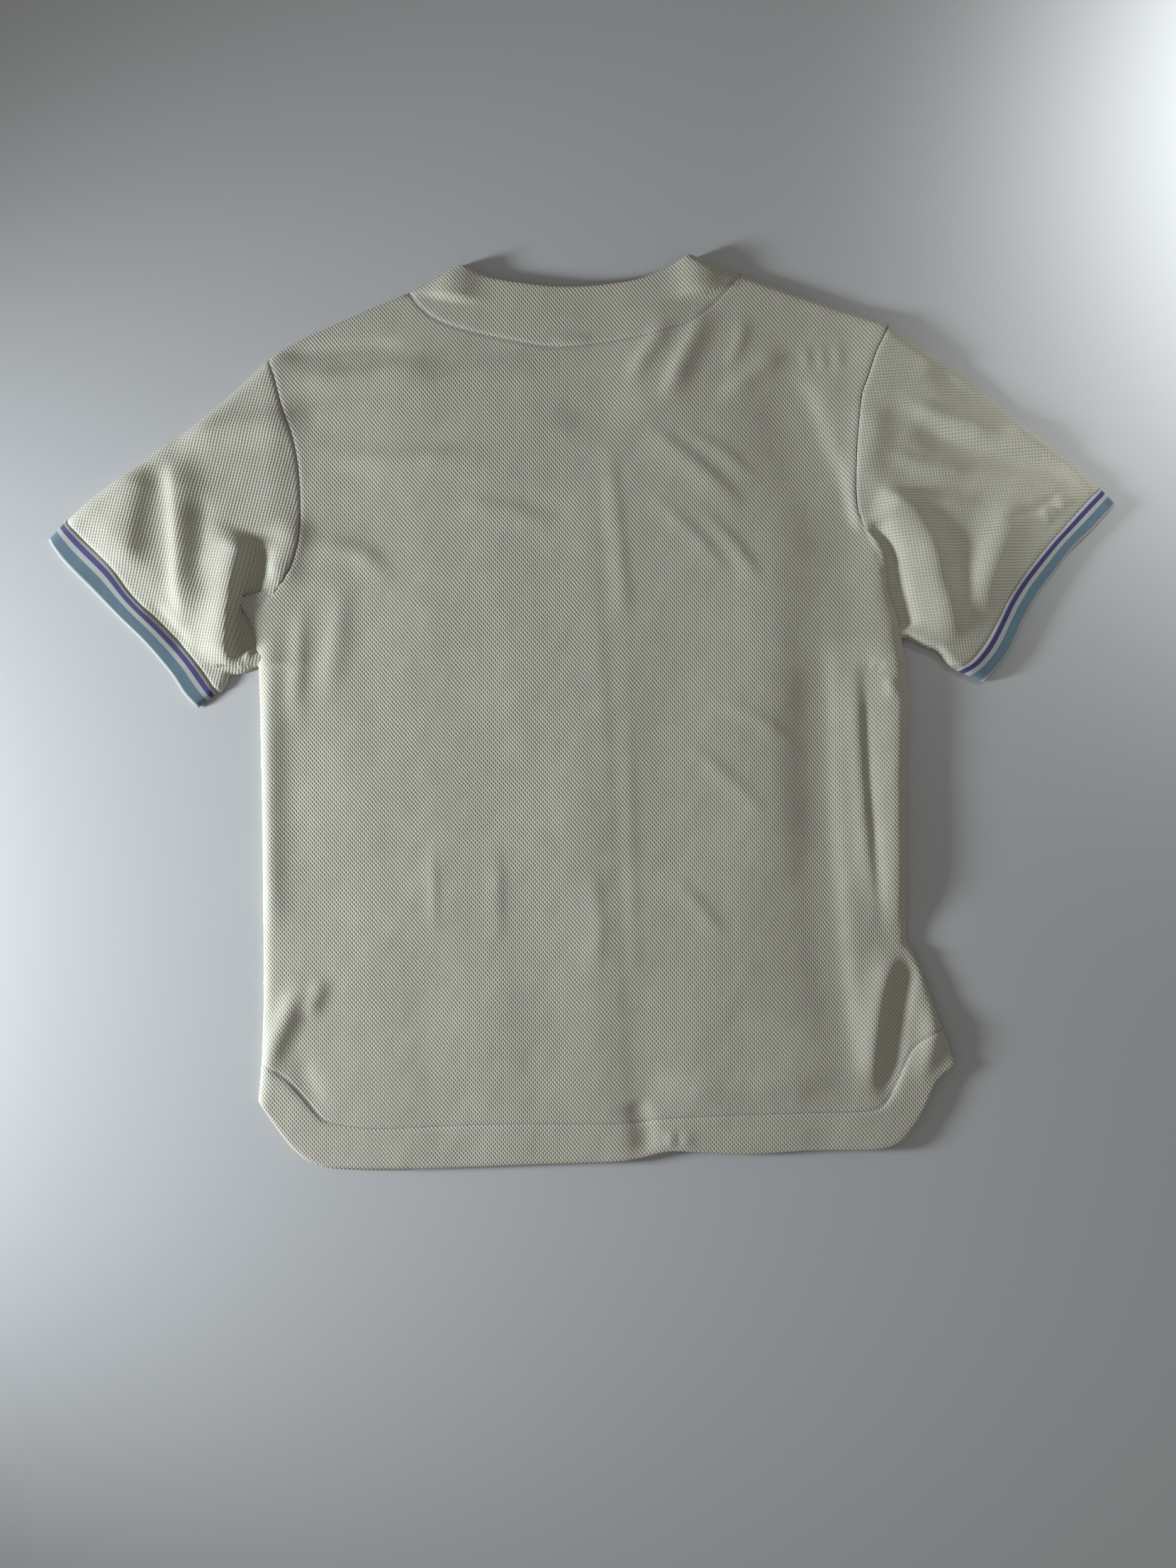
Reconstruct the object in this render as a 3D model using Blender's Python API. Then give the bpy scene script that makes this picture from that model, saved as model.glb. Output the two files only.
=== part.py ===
"""Short-sleeved sports jersey, laid flat on its front with the back upwards.

Lengths in the tables are millimetres. +X runs across the body, +Y from the hem to the neck, +Z up.
The front panels lie flat on the surface. The back and the upper sleeve layers lie over them and
carry the folds. Every edge that the cloth is folded at rolls down to the layer below.
"""
from collections import namedtuple

import bmesh
import bpy
import numpy as np

MM = 0.001

# Cloth
wall = 1.4
cuffWall = 1.6
facingWall = 1.0
seamGap = 0.3
armholeGap = 0.45
hemThickening = 0.6
hemDepth = 35.0
hemStepReach = 8.0

# Facing inside the back of the neck
facingGap = 1.1
facingSettle = 7.0
facingEndInset = 0.065
facingNeckInset = 2.0
facingColumns = 22

# How far the upper layer stands off the lower one
bodyLoft = 3.0
sleeveLoft = 6.0
cuffLoft = 2.0
foldRadius = 9.0
layerRest = wall + seamGap

# Where the loft changes from the body's to the sleeves' and the cuffs'
bodyLoftLeft = -262.0
bodyLoftRight = 250.0
bodyLoftBlend = 34.0
underarmLevel = 40.0
cuffLoftReach = 6.0
cuffLoftBlend = 40.0

# How far the back is lifted over what lies below it
placketLiftMargin = 4.0
placketLiftBlend = 12.0
neckVeeFade = 30.0
facingLiftMargin = 12.0
facingLiftBlend = 16.0

# Front closure, hidden below the back
placketWidth = 32.0
placketStepStart = 33.5
placketStepEnd = 39.5
placketColumns = (0.0, 11.0, 22.0, placketStepStart, placketStepEnd)
placketCrowding = 2.0
frontHemDrop = 2.2
neckVeeX = -3.0
neckVeeY = 185.0
neckBowAcross = 0.62
neckBowUp = 0.48
hemCentreX = 27.0
hemCentreY = -385.0

# Mesh
sideRows = 15
pocketRows = 4
armholeRows = 13
bodyColumns = 36
bodyWidth = 555.0
armholeLength = 230.0
edgeInsets = (2.5, 8.0)
sleeveColumns = 12
sleeveLength = 215.0
cuffRows = 2
facingRows = 4
frontColumns = 5
outlineSegments = 12
curveSamples = 16
denseSamples = 240
tubeEdgeTuck = 0.8
tubeInnerTuck = 0.3

BodySection = namedtuple("BodySection", "level left right")
bodySections = (
    BodySection(-262, -274, 305.5),
    BodySection(-226, -273.5, 293.5),
    BodySection(-195, -273.5, 279.5),
    BodySection(-120, -274.5, 279.5),
    BodySection(-45, -275.5, 279),
    BodySection(8, -276.5, 281.5),
)

# The stretch of each body edge that the sleeve lies against
PocketSection = namedtuple("PocketSection", "leftLevel left rightLevel right")
pocketSections = (
    PocketSection(40, -277, 58, 275),
    PocketSection(63, -279.5, 84, 268.5),
)

# drop is the distance below the shoulder end
ArmholeSection = namedtuple("ArmholeSection", "drop left right")
armholeSections = (
    ArmholeSection(0, -268.5, 263),
    ArmholeSection(17, -262.5, 255.5),
    ArmholeSection(43, -255, 245),
    ArmholeSection(69, -246.5, 238.5),
    ArmholeSection(101, -241.5, 235.5),
    ArmholeSection(138, -240.5, 234.5),
    ArmholeSection(168, -244, 238),
    ArmholeSection(190, -254, 249),
    ArmholeSection(203, -267, 256),
    ArmholeSection(217, -281, 260),
)
leftShoulderEnd = 303.0
rightShoulderEnd = 334.3

EdgePoint = namedtuple("EdgePoint", "x y")
hemLine = (
    EdgePoint(-277.5, -333),
    EdgePoint(-257, -362),
    EdgePoint(-233, -383.5),
    EdgePoint(-206, -390),
    EdgePoint(-130, -390.4),
    EdgePoint(-10, -386),
    EdgePoint(48, -381.8),
    EdgePoint(78, -375.4),
    EdgePoint(140, -377.4),
    EdgePoint(215, -374),
    EdgePoint(262, -372),
    EdgePoint(280, -360),
    EdgePoint(297, -331),
    EdgePoint(308, -311.5),
    EdgePoint(320.3, -300.7),
)
leftShoulderLine = (
    EdgePoint(-268.5, 303),
    EdgePoint(-233, 325),
    EdgePoint(-160, 356),
    EdgePoint(-106, 383),
)
neckLine = (
    EdgePoint(-106, 383),
    EdgePoint(-83, 374),
    EdgePoint(-49, 367.5),
    EdgePoint(-10, 364.8),
    EdgePoint(40, 369.5),
    EdgePoint(72, 380),
    EdgePoint(95, 392),
)
rightShoulderLine = (
    EdgePoint(95, 392),
    EdgePoint(141, 375.5),
    EdgePoint(208, 352.5),
    EdgePoint(263, 334.3),
)
facingLine = (
    EdgePoint(-149, 352),
    EdgePoint(-122, 335),
    EdgePoint(-62, 318.5),
    EdgePoint(-25, 312.5),
    EdgePoint(48, 321.5),
    EdgePoint(95, 336),
    EdgePoint(130, 368),
)

# Each sleeve: its upper fold from the shoulder to the cuff seam, the cuff seam from the upper fold
# down, the cuff's outer edge, and the lower fold from the body to the cuff seam
sleeveOutlines = {
    "left": dict(
        upperFold=(EdgePoint(-269, 302), EdgePoint(-318, 258.6), EdgePoint(-361, 228),
                   EdgePoint(-403, 197.6), EdgePoint(-443, 164.5)),
        cuffSeam=(EdgePoint(-443, 164.5), EdgePoint(-403, 124), EdgePoint(-360.5, 75.6),
                  EdgePoint(-333, 44), EdgePoint(-313, 17)),
        cuffEdge=(EdgePoint(-457.5, 148), EdgePoint(-421.5, 107), EdgePoint(-373, 58.5),
                  EdgePoint(-350, 31), EdgePoint(-329, 4.5)),
        lowerFold=(EdgePoint(-277.4, 39.5), EdgePoint(-290, 33.5), EdgePoint(-302, 28),
                   EdgePoint(-313, 17)),
    ),
    "right": dict(
        upperFold=(EdgePoint(263.4, 334), EdgePoint(310, 301), EdgePoint(365.4, 258.6),
                   EdgePoint(408, 224), EdgePoint(444.5, 193)),
        cuffSeam=(EdgePoint(444.5, 193), EdgePoint(414, 159.8), EdgePoint(377.6, 116.5),
                  EdgePoint(352, 71), EdgePoint(322, 37.5)),
        cuffEdge=(EdgePoint(458, 179.5), EdgePoint(427, 146), EdgePoint(391, 101),
                  EdgePoint(368, 54), EdgePoint(343, 26.5)),
        lowerFold=(EdgePoint(275.4, 57.5), EdgePoint(293, 57), EdgePoint(306, 50.5),
                   EdgePoint(322, 37.5)),
    ),
}

# Largest folds of the upper layer. A ridge has a positive height and a trough a negative one.
# path is the line that it runs along and width is how far its sides reach.
Fold = namedtuple("Fold", "place height width path")
folds = (
    Fold("left side ridge", 5, 12, ((-265, 80), (-264, -100), (-264, -235))),
    Fold("left side trough", -3, 12, ((-248, 80), (-247, -100), (-250, -200))),
    Fold("low left ridge", 6, 11, ((-247, -225), (-266, -285))),
    Fold("low left trough", -4, 13, ((-228, -225), (-250, -330))),
    Fold("right flank trough", -4, 15, ((172, 300), (200, 225), (228, 172), (250, 105))),
    Fold("right flank rise", 4, 26, ((150, 250), (165, 60), (165, -160))),
    Fold("right inner trough", -4, 16, ((208, 60), (210, -180), (232, -320))),
    Fold("right side ridge", 7, 15, ((257, 65), (262, -60), (261, -190), (249, -250))),
    Fold("low right trough", -10, 12, ((279, -200), (262, -300), (257, -330))),
    Fold("low right flare", 5, 11, ((297, -255), (283, -315))),
    Fold("left shoulder trough", -3, 12, ((-250, 300), (-190, 309), (-140, 315))),
    Fold("left shoulder ridge", 3, 13, ((-250, 283), (-150, 296))),
    Fold("left chest trough", -3, 20, ((-262, 254), (-196, 272), (-110, 292), (-30, 300))),
    Fold("middle chest trough", -3, 17, ((-19, 257), (42, 272))),
    Fold("right neck ridge", 4, 12, ((100, 345), (66, 284))),
    Fold("right neck trough", -3, 12, ((82, 330), (48, 272))),
    Fold("right shoulder ridge", 4, 14, ((168, 316), (108, 272))),
    Fold("right chest trough", -3, 12, ((48, 254), (134, 181))),
    Fold("neck corner left", 5, 22, ((-104, 372), (-112, 350))),
    Fold("neck corner right", 6, 22, ((94, 380), (104, 356))),
    Fold("low right swell", 3, 20, ((60, -318), (220, -316))),
    Fold("hem dip", -3, 10, ((55, -340), (60, -380))),
    Fold("left sleeve ridge outer", 7, 13, ((-374, 206), (-385, 174), (-390, 132))),
    Fold("left sleeve trough outer", -6, 13, ((-357, 212), (-364, 174), (-370, 98))),
    Fold("left sleeve ridge middle", 7, 14, ((-341, 215), (-341, 126), (-337, 95))),
    Fold("left sleeve trough inner", -7, 13, ((-323, 187), (-322, 150), (-330, 85))),
    Fold("left sleeve ridge inner", 12, 14, ((-299, 150), (-306, 119), (-310, 89), (-310, 46))),
    Fold("left sleeve trough armpit", -8, 12, ((-284, 153), (-282, 138), (-290, 110))),
    Fold("left armpit pocket", -26, 14, ((-288, 92), (-286, 50))),
    Fold("left armpit swell", 6, 18, ((-257, 140), (-262, 150))),
    Fold("right sleeve ridge upper", 4, 13, ((292, 254), (353, 232))),
    Fold("right sleeve trough upper", -4, 14, ((292, 236), (353, 215), (412, 197))),
    Fold("right sleeve roll", 9, 14, ((246, 181), (270, 168), (292, 149), (298, 110), (292, 75))),
    Fold("right sleeve trough middle", -5, 15, ((303, 156), (325, 130))),
    Fold("right sleeve ridge outer", 6, 14, ((347, 172), (323, 77))),
    Fold("right armpit pocket", -26, 11, ((254, 139), (267, 100), (274, 66))),
)

# The materials' colours, roughness
finishes = {
    "cream_mesh_knit": ((0.80, 0.78, 0.68), 0.78),
    "striped_rib_knit": ((0.32, 0.45, 0.50), 0.80),
}


def arcFractions(points):
    """Fraction of a line's length at each of its points."""
    steps = np.linalg.norm(np.diff(points, axis=0), axis=1)
    lengths = np.concatenate([[0.0], np.cumsum(steps)])
    return lengths / lengths[-1]


def smoothLine(stations, fractions):
    """Points at the given fractions of a smooth curve through the stations."""
    knots = np.array([(s[0], s[1]) for s in stations], dtype=float)
    before = 2 * knots[0] - knots[1]
    after = 2 * knots[-1] - knots[-2]
    padded = np.vstack([before, knots, after])
    dense = []
    for i in range(1, len(padded) - 2):
        a, b, c, d = padded[i - 1:i + 3]
        for t in np.linspace(0, 1, curveSamples, endpoint=False):
            dense.append(0.5 * (2 * b + (c - a) * t + (2 * a - 5 * b + 4 * c - d) * t ** 2
                                + (3 * b - a - 3 * c + d) * t ** 3))
    dense.append(knots[-1])
    dense = np.array(dense)
    at = arcFractions(dense)
    return np.column_stack([np.interp(fractions, at, dense[:, k]) for k in (0, 1)])


def evenly(count):
    return np.linspace(0, 1, count + 1)


def crowdedAtEnds(count, length, insets):
    """Even fractions, with extra ones at the given distances from both ends."""
    near = [0.0] + [d / length for d in insets]
    inner = np.linspace(near[-1], 1 - near[-1], count - 2 * len(insets) + 1)
    return np.concatenate([near[:-1], inner, [1 - f for f in reversed(near[:-1])]])


def crowdedAtEnd(count, length, insets):
    """Even fractions, with extra ones at the given distances from the far end."""
    near = [1 - d / length for d in reversed(insets)]
    return np.concatenate([np.linspace(0, near[0], count - len(insets) + 1), near[1:], [1.0]])


def fillPatch(bottom, top, left, right, u, v):
    """Plan points of a patch between four edges, as rows from bottom to top."""
    uu = u[None, :, None]
    vv = v[:, None, None]
    across = (1 - vv) * bottom[None] + vv * top[None]
    along = (1 - uu) * left[:, None] + uu * right[:, None]
    corners = ((1 - uu) * (1 - vv) * bottom[0] + uu * (1 - vv) * bottom[-1]
               + (1 - uu) * vv * top[0] + uu * vv * top[-1])
    return across + along - corners


def distanceTo(line, plan):
    """Distance from each plan point to a line of points."""
    line = np.asarray(line, dtype=float)
    best = np.full(plan.shape[:-1], np.inf)
    for a, b in zip(line[:-1], line[1:]):
        run = b - a
        t = np.clip(((plan - a) @ run) / (run @ run), 0, 1)
        near = a + t[..., None] * run
        best = np.minimum(best, np.linalg.norm(plan - near, axis=-1))
    return best


def shifted(line, distance):
    """The line moved sideways, to the left of its direction."""
    ahead = np.gradient(line, axis=0)
    ahead /= np.linalg.norm(ahead, axis=1)[:, None]
    return line + distance * np.column_stack([-ahead[:, 1], ahead[:, 0]])


def sideEdge(side):
    """A body edge in three stretches: hem tip to pocket, pocket to underarm, underarm to shoulder."""
    shoulder = leftShoulderEnd if side == "left" else rightShoulderEnd
    tip = hemLine[0] if side == "left" else hemLine[-1]
    lower = [tip] + [(getattr(s, side), s.level) for s in bodySections]
    pocket = [(getattr(s, side), getattr(s, side + "Level")) for s in pocketSections]
    armhole = [(getattr(s, side), shoulder - s.drop) for s in reversed(armholeSections)]
    free = smoothLine(lower + pocket[:1], evenly(sideRows))
    beside = smoothLine(pocket + armhole[:1], evenly(pocketRows))
    seam = smoothLine(armhole, crowdedAtEnd(armholeRows, armholeLength, edgeInsets))
    return free, beside, seam


def wholeSide(side):
    free, beside, seam = sideEdge(side)
    return np.vstack([free, beside[1:], seam[1:]])


def placketCentre(level):
    """Across place of the front closure at a level."""
    risen = (level - hemCentreY) / (neckVeeY - hemCentreY)
    return hemCentreX + (neckVeeX - hemCentreX) * risen


leftSide = wholeSide("left")
rightSide = wholeSide("right")
foldedEdges = [
    leftSide[:sideRows + pocketRows + 1],
    rightSide[:sideRows + pocketRows + 1],
    smoothLine(leftShoulderLine, evenly(outlineSegments)),
    smoothLine(rightShoulderLine, evenly(outlineSegments)),
]
for outline in sleeveOutlines.values():
    foldedEdges.append(smoothLine(outline["upperFold"], evenly(outlineSegments)))
    foldedEdges.append(smoothLine(outline["lowerFold"], evenly(outlineSegments)))
    foldedEdges.append(np.array([outline["cuffSeam"][0], outline["cuffEdge"][0]], dtype=float))
    foldedEdges.append(np.array([outline["cuffSeam"][-1], outline["cuffEdge"][-1]], dtype=float))


def softStep(distance, reach):
    t = np.clip(distance / reach, 0, 1)
    return t * t * (3 - 2 * t)


def upperHeight(plan):
    """Height of the underside of the upper layer."""
    x, y = plan[..., 0], plan[..., 1]
    onBody = softStep(x - bodyLoftLeft, bodyLoftBlend) * softStep(bodyLoftRight - x, bodyLoftBlend)
    loft = sleeveLoft + (bodyLoft - sleeveLoft) * np.where(y < underarmLevel, 1.0, onBody)
    for outline in sleeveOutlines.values():
        nearCuff = 1 - softStep(distanceTo(outline["cuffEdge"], plan) - cuffLoftReach, cuffLoftBlend)
        loft = loft + (cuffLoft - loft) * nearCuff
    for fold in folds:
        loft = loft + fold.height * np.exp(-(distanceTo(fold.path, plan) / fold.width) ** 2)
    roll = np.ones_like(x)
    for edge in foldedEdges:
        t = np.clip(distanceTo(edge, plan) / foldRadius, 0, 1)
        roll = np.minimum(roll, np.sqrt(1 - (1 - t) ** 2))
    fromPlacket = np.abs(x - placketCentre(y)) - placketWidth / 2 - placketLiftMargin
    overPlacket = (1 - softStep(fromPlacket, placketLiftBlend)) * softStep(neckVeeY + neckVeeFade - y,
                                                                           neckVeeFade)
    overFacing = 1 - softStep(distanceTo(facingSpread, plan) - facingLiftMargin, facingLiftBlend)
    lift = np.maximum(overPlacket * (wall + seamGap), overFacing * (facingWall + facingGap + seamGap))
    return layerRest + lift + roll * np.maximum(loft, 0.0)


# A line to and fro over the facing, which the back is lifted along
neckSpread = smoothLine(neckLine, evenly(outlineSegments))
stitchSpread = smoothLine(facingLine, evenly(outlineSegments))
facingSpread = np.vstack([(neckSpread + stitchSpread) / 2, neckSpread[::-1], stitchSpread])


def withHeight(plan, height):
    return np.dstack([plan, np.broadcast_to(height, plan.shape[:2])])


def closeGrid(mesh, upper, lower):
    """Join an upper and a lower grid of points into one closed wall."""
    rows, columns = upper.shape[:2]
    top = [[mesh.verts.new(p * MM) for p in row] for row in upper]
    under = [[mesh.verts.new(p * MM) for p in row] for row in lower]
    for j in range(rows - 1):
        for i in range(columns - 1):
            mesh.faces.new((top[j][i], top[j][i + 1], top[j + 1][i + 1], top[j + 1][i]))
            mesh.faces.new((under[j][i], under[j + 1][i], under[j + 1][i + 1], under[j][i + 1]))
    for i in range(columns - 1):
        mesh.faces.new((under[0][i], under[0][i + 1], top[0][i + 1], top[0][i]))
        mesh.faces.new((under[-1][i + 1], under[-1][i], top[-1][i], top[-1][i + 1]))
    for j in range(rows - 1):
        mesh.faces.new((under[j + 1][0], under[j][0], top[j][0], top[j + 1][0]))
        mesh.faces.new((under[j][-1], under[j + 1][-1], top[j + 1][-1], top[j][-1]))


def closeRings(mesh, outer, inner):
    """Join rows of outer and inner rings into one tube wall, open at both ends."""
    shells = [[[mesh.verts.new(p * MM) for p in ring] for ring in rings] for rings in (outer, inner)]
    count = len(outer[0])
    for j in range(len(outer) - 1):
        for i in range(count):
            k = (i + 1) % count
            outside, inside = shells
            mesh.faces.new((outside[j][i], outside[j + 1][i], outside[j + 1][k], outside[j][k]))
            mesh.faces.new((inside[j][i], inside[j][k], inside[j + 1][k], inside[j + 1][i]))
    for i in range(count):
        k = (i + 1) % count
        outside, inside = shells
        mesh.faces.new((outside[0][i], outside[0][k], inside[0][k], inside[0][i]))
        mesh.faces.new((outside[-1][k], outside[-1][i], inside[-1][i], inside[-1][k]))


def addPiece(name, finish, fill, *parts):
    """A named object whose mesh is filled from point grids."""
    mesh = bmesh.new()
    fill(mesh, *parts)
    bmesh.ops.recalc_face_normals(mesh, faces=mesh.faces)
    bmesh.ops.triangulate(mesh, faces=mesh.faces)
    data = bpy.data.meshes.new(name)
    mesh.to_mesh(data)
    mesh.free()
    data.shade_smooth()
    data.set_sharp_from_angle(angle=np.radians(50))
    data.materials.append(clothMaterial(finish))
    piece = bpy.data.objects.new(name, data)
    bpy.context.scene.collection.objects.link(piece)
    return piece


def clothMaterial(name):
    if name in bpy.data.materials:
        return bpy.data.materials[name]
    colour, roughness = finishes[name]
    material = bpy.data.materials.new(name)
    material.use_nodes = True
    shader = material.node_tree.nodes["Principled BSDF"]
    shader.inputs["Base Color"].default_value = (*colour, 1)
    shader.inputs["Roughness"].default_value = roughness
    shader.inputs["Metallic"].default_value = 0.0
    return material


def addBack():
    """The back panel, with its hem turned up below the stitched line."""
    u = crowdedAtEnds(bodyColumns, bodyWidth, edgeInsets)
    v = (arcFractions(leftSide) + arcFractions(rightSide)) / 2
    bottom = smoothLine(hemLine, u)
    topStations = leftShoulderLine + neckLine[1:] + rightShoulderLine[1:]
    top = smoothLine(topStations, u)
    plan = fillPatch(bottom, top, leftSide, rightSide, u, v)
    aboveHem = distanceTo(smoothLine(hemLine, evenly(denseSamples)), plan)
    underside = upperHeight(plan)
    turnedUp = 1 - softStep(aboveHem - hemDepth + hemStepReach, hemStepReach)
    thickness = wall + hemThickening * turnedUp
    addPiece("back", "cream_mesh_knit", closeGrid,
             withHeight(plan, underside + thickness), withHeight(plan, underside))


def addFacing():
    """The facing inside the back of the neck, below the back panel."""
    u = evenly(facingColumns)
    v = evenly(facingRows)
    neck = smoothLine(neckLine, facingEndInset + (1 - 2 * facingEndInset) * u)
    neck = neck - np.array([0.0, facingNeckInset])
    lower = smoothLine(facingLine, u)
    left = neck[0] + (lower[0] - neck[0]) * (1 - v[:, None])
    right = neck[-1] + (lower[-1] - neck[-1]) * (1 - v[:, None])
    plan = fillPatch(lower, neck, left, right, u, v)
    around = (-facingSettle, 0.0, facingSettle)
    nearby = [upperHeight(plan + np.array([dx, dy])) for dx in around for dy in around]
    top = np.min(nearby, axis=0) - facingGap
    addPiece("back_neck_facing", "cream_mesh_knit", closeGrid,
             withHeight(plan, top), withHeight(plan, top - facingWall))


def frontNeckEdge(away, fractions):
    """The front neckline from the foot of the vee up to a neck corner."""
    corner = neckLine[0] if away < 0 else neckLine[-1]
    foot = EdgePoint(neckVeeX - away * placketWidth / 2, neckVeeY)
    bow = EdgePoint(foot.x + (corner.x - foot.x) * neckBowAcross,
                    foot.y + (corner.y - foot.y) * neckBowUp)
    return smoothLine((foot, bow, corner), fractions)


def frontStrip(away, rowCount, hem, shoulder):
    """Columns beside the closure, as far as the step over the lower front."""
    levels = np.linspace(hemCentreY, neckVeeY, rowCount - armholeRows)
    edge = np.column_stack([placketCentre(levels) - away * placketWidth / 2, levels])
    edge = np.vstack([edge, frontNeckEdge(away, evenly(armholeRows))[1:]])
    strip = np.zeros((rowCount, len(placketColumns), 2))
    for i, distance in enumerate(placketColumns):
        x = placketCentre(edge[:, 1]) + away * (distance - placketWidth / 2)
        beyondNeck = (x - edge[:, 0]) * away < i * placketCrowding
        strip[:, i, 0] = np.where(beyondNeck, edge[:, 0] + away * i * placketCrowding, x)
        strip[:, i, 1] = edge[:, 1]
        strip[0, i, 1] = np.interp(strip[0, i, 0], hem[:, 0], hem[:, 1])
    along = np.linalg.norm(shoulder - shoulder[0], axis=1)
    for i in range(len(placketColumns)):
        for k in (0, 1):
            strip[-1, i, k] = np.interp(i * placketCrowding, along, shoulder[:, k])
    return strip


def addFront(side):
    """One front, from the far edge of the placket to the side seam."""
    away = -1 if side == "left" else 1
    outer = leftSide if side == "left" else rightSide
    dense = evenly(denseSamples)
    stations = hemLine
    if side == "left":
        peeks = [EdgePoint(s.x, s.y - frontHemDrop) for s in hemLine[2:5]]
        stations = hemLine[:2] + tuple(peeks) + hemLine[5:]
    hem = smoothLine(stations, dense)
    shoulder = leftShoulderLine[::-1] if side == "left" else rightShoulderLine
    strip = frontStrip(away, len(outer), hem, smoothLine(shoulder, dense))
    u = evenly(frontColumns)
    start = strip[:, -1]
    beyond = hem[(hem[:, 0] - start[0, 0]) * away > 1]
    bottom = np.vstack([start[0], beyond if away > 0 else beyond[::-1]])
    top = smoothLine(shoulder, dense)
    stripWidth = np.linalg.norm(start[-1] - top[0])
    top = np.vstack([start[-1], top[np.linalg.norm(top - top[0], axis=1) > stripWidth + 1]])
    bottom = np.column_stack([np.interp(u, arcFractions(bottom), bottom[:, k]) for k in (0, 1)])
    top = np.column_stack([np.interp(u, arcFractions(top), top[:, k]) for k in (0, 1)])
    patch = fillPatch(bottom, top, start, outer, u, arcFractions(outer))
    plan = np.concatenate([strip, patch[:, 1:]], axis=1)
    height = np.zeros(plan.shape[:2])
    if side == "right":
        fromEdge = plan[..., 0] - placketCentre(plan[..., 1]) + placketWidth / 2
        beyondStep = (fromEdge - placketStepStart) / (placketStepEnd - placketStepStart)
        height = (wall + seamGap) * (1 - np.clip(beyondStep, 0, 1))
    addPiece("front_" + side, "cream_mesh_knit", closeGrid,
             withHeight(plan, height + wall), withHeight(plan, height))


def flattenedTube(plan, thickness):
    """Rings of a tube pressed flat, one for each row of plan points."""
    outer, inner = [], []
    upper = upperHeight(plan)
    for row, height in zip(plan, upper):
        inward = np.array([row[1] - row[0], row[-2] - row[-1]])
        inward /= np.linalg.norm(inward, axis=1)[:, None]
        outerRow = row.copy()
        outerRow[0] += inward[0] * tubeEdgeTuck
        outerRow[-1] += inward[1] * tubeEdgeTuck
        innerRow = row.copy()
        innerRow[0] += inward[0] * thickness
        innerRow[-1] += inward[1] * thickness
        middle = (layerRest + thickness) / 2
        ends = [np.append(row[0], middle), np.append(row[-1], middle)]
        innerEnds = [np.append(row[k] + inward[k] * (thickness - tubeInnerTuck), thickness + seamGap / 2)
                     for k in (0, -1)]
        over = np.column_stack([outerRow, height + thickness])
        below = np.column_stack([outerRow, np.zeros(len(row))])[::-1]
        outer.append(np.vstack([ends[0], over, ends[1], below]))
        roof = np.column_stack([innerRow, np.maximum(height, thickness + seamGap)])
        floor = np.column_stack([innerRow, np.full(len(row), thickness)])[::-1]
        inner.append(np.vstack([innerEnds[0], roof, innerEnds[1], floor]))
    return outer, inner


def sleevePlan(side):
    """Plan points of a sleeve, as rows from the armhole to the cuff seam."""
    outline = sleeveOutlines[side]
    free, beside, seam = sideEdge(side)
    edge = np.vstack([seam[::-1], beside[::-1][1:]])
    away = -1 if side == "left" else 1
    edge = shifted(edge, armholeGap * away)
    around = arcFractions(edge)
    along = crowdedAtEnds(sleeveColumns, sleeveLength, edgeInsets[1:])
    upperFold = smoothLine(outline["upperFold"], along)
    upperFold = upperFold + (edge[0] - upperFold[0]) * (1 - along[:, None]) ** 4
    lowerFold = smoothLine(outline["lowerFold"], along)
    lowerFold = lowerFold + (edge[-1] - lowerFold[0]) * (1 - along[:, None]) ** 4
    cuffSeam = smoothLine(outline["cuffSeam"], around)
    return fillPatch(edge, cuffSeam, upperFold, lowerFold, around, along)


def addSleeve(side):
    plan = sleevePlan(side)
    outer, inner = flattenedTube(plan, wall)
    addPiece("sleeve_" + side, "cream_mesh_knit", closeRings, outer, inner)


def addCuff(side):
    """The rib band beyond the cuff seam."""
    outline = sleeveOutlines[side]
    seam = sleevePlan(side)[-1]
    around = arcFractions(seam)
    edge = smoothLine(outline["cuffEdge"], around)
    gap = (edge - seam) / np.linalg.norm(edge - seam, axis=1)[:, None] * seamGap
    start = seam + gap
    rows = [start + (edge - start) * f for f in evenly(cuffRows)]
    outer, inner = flattenedTube(np.array(rows), cuffWall)
    addPiece("cuff_" + side, "striped_rib_knit", closeRings, outer, inner)


def standOnOwnCentre():
    """Put the origin at the middle of the part's box, on the surface that it lies on."""
    bpy.context.view_layer.update()
    pieces = [o for o in bpy.context.scene.objects if o.type == "MESH"]
    corners = np.array([tuple(v.co) for o in pieces for v in o.data.vertices])
    low, high = corners.min(axis=0), corners.max(axis=0)
    middle = (low + high) / 2
    for piece in pieces:
        for vertex in piece.data.vertices:
            vertex.co.x -= middle[0]
            vertex.co.y -= middle[1]
            vertex.co.z -= low[2]


for old in list(bpy.data.objects):
    bpy.data.objects.remove(old, do_unlink=True)

for side in ("left", "right"):
    addFront(side)
    addSleeve(side)
    addCuff(side)
addFacing()
addBack()
standOnOwnCentre()
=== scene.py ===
import math
from collections import namedtuple

import bpy
import numpy as np
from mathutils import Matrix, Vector
from mathutils.bvhtree import BVHTree


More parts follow.
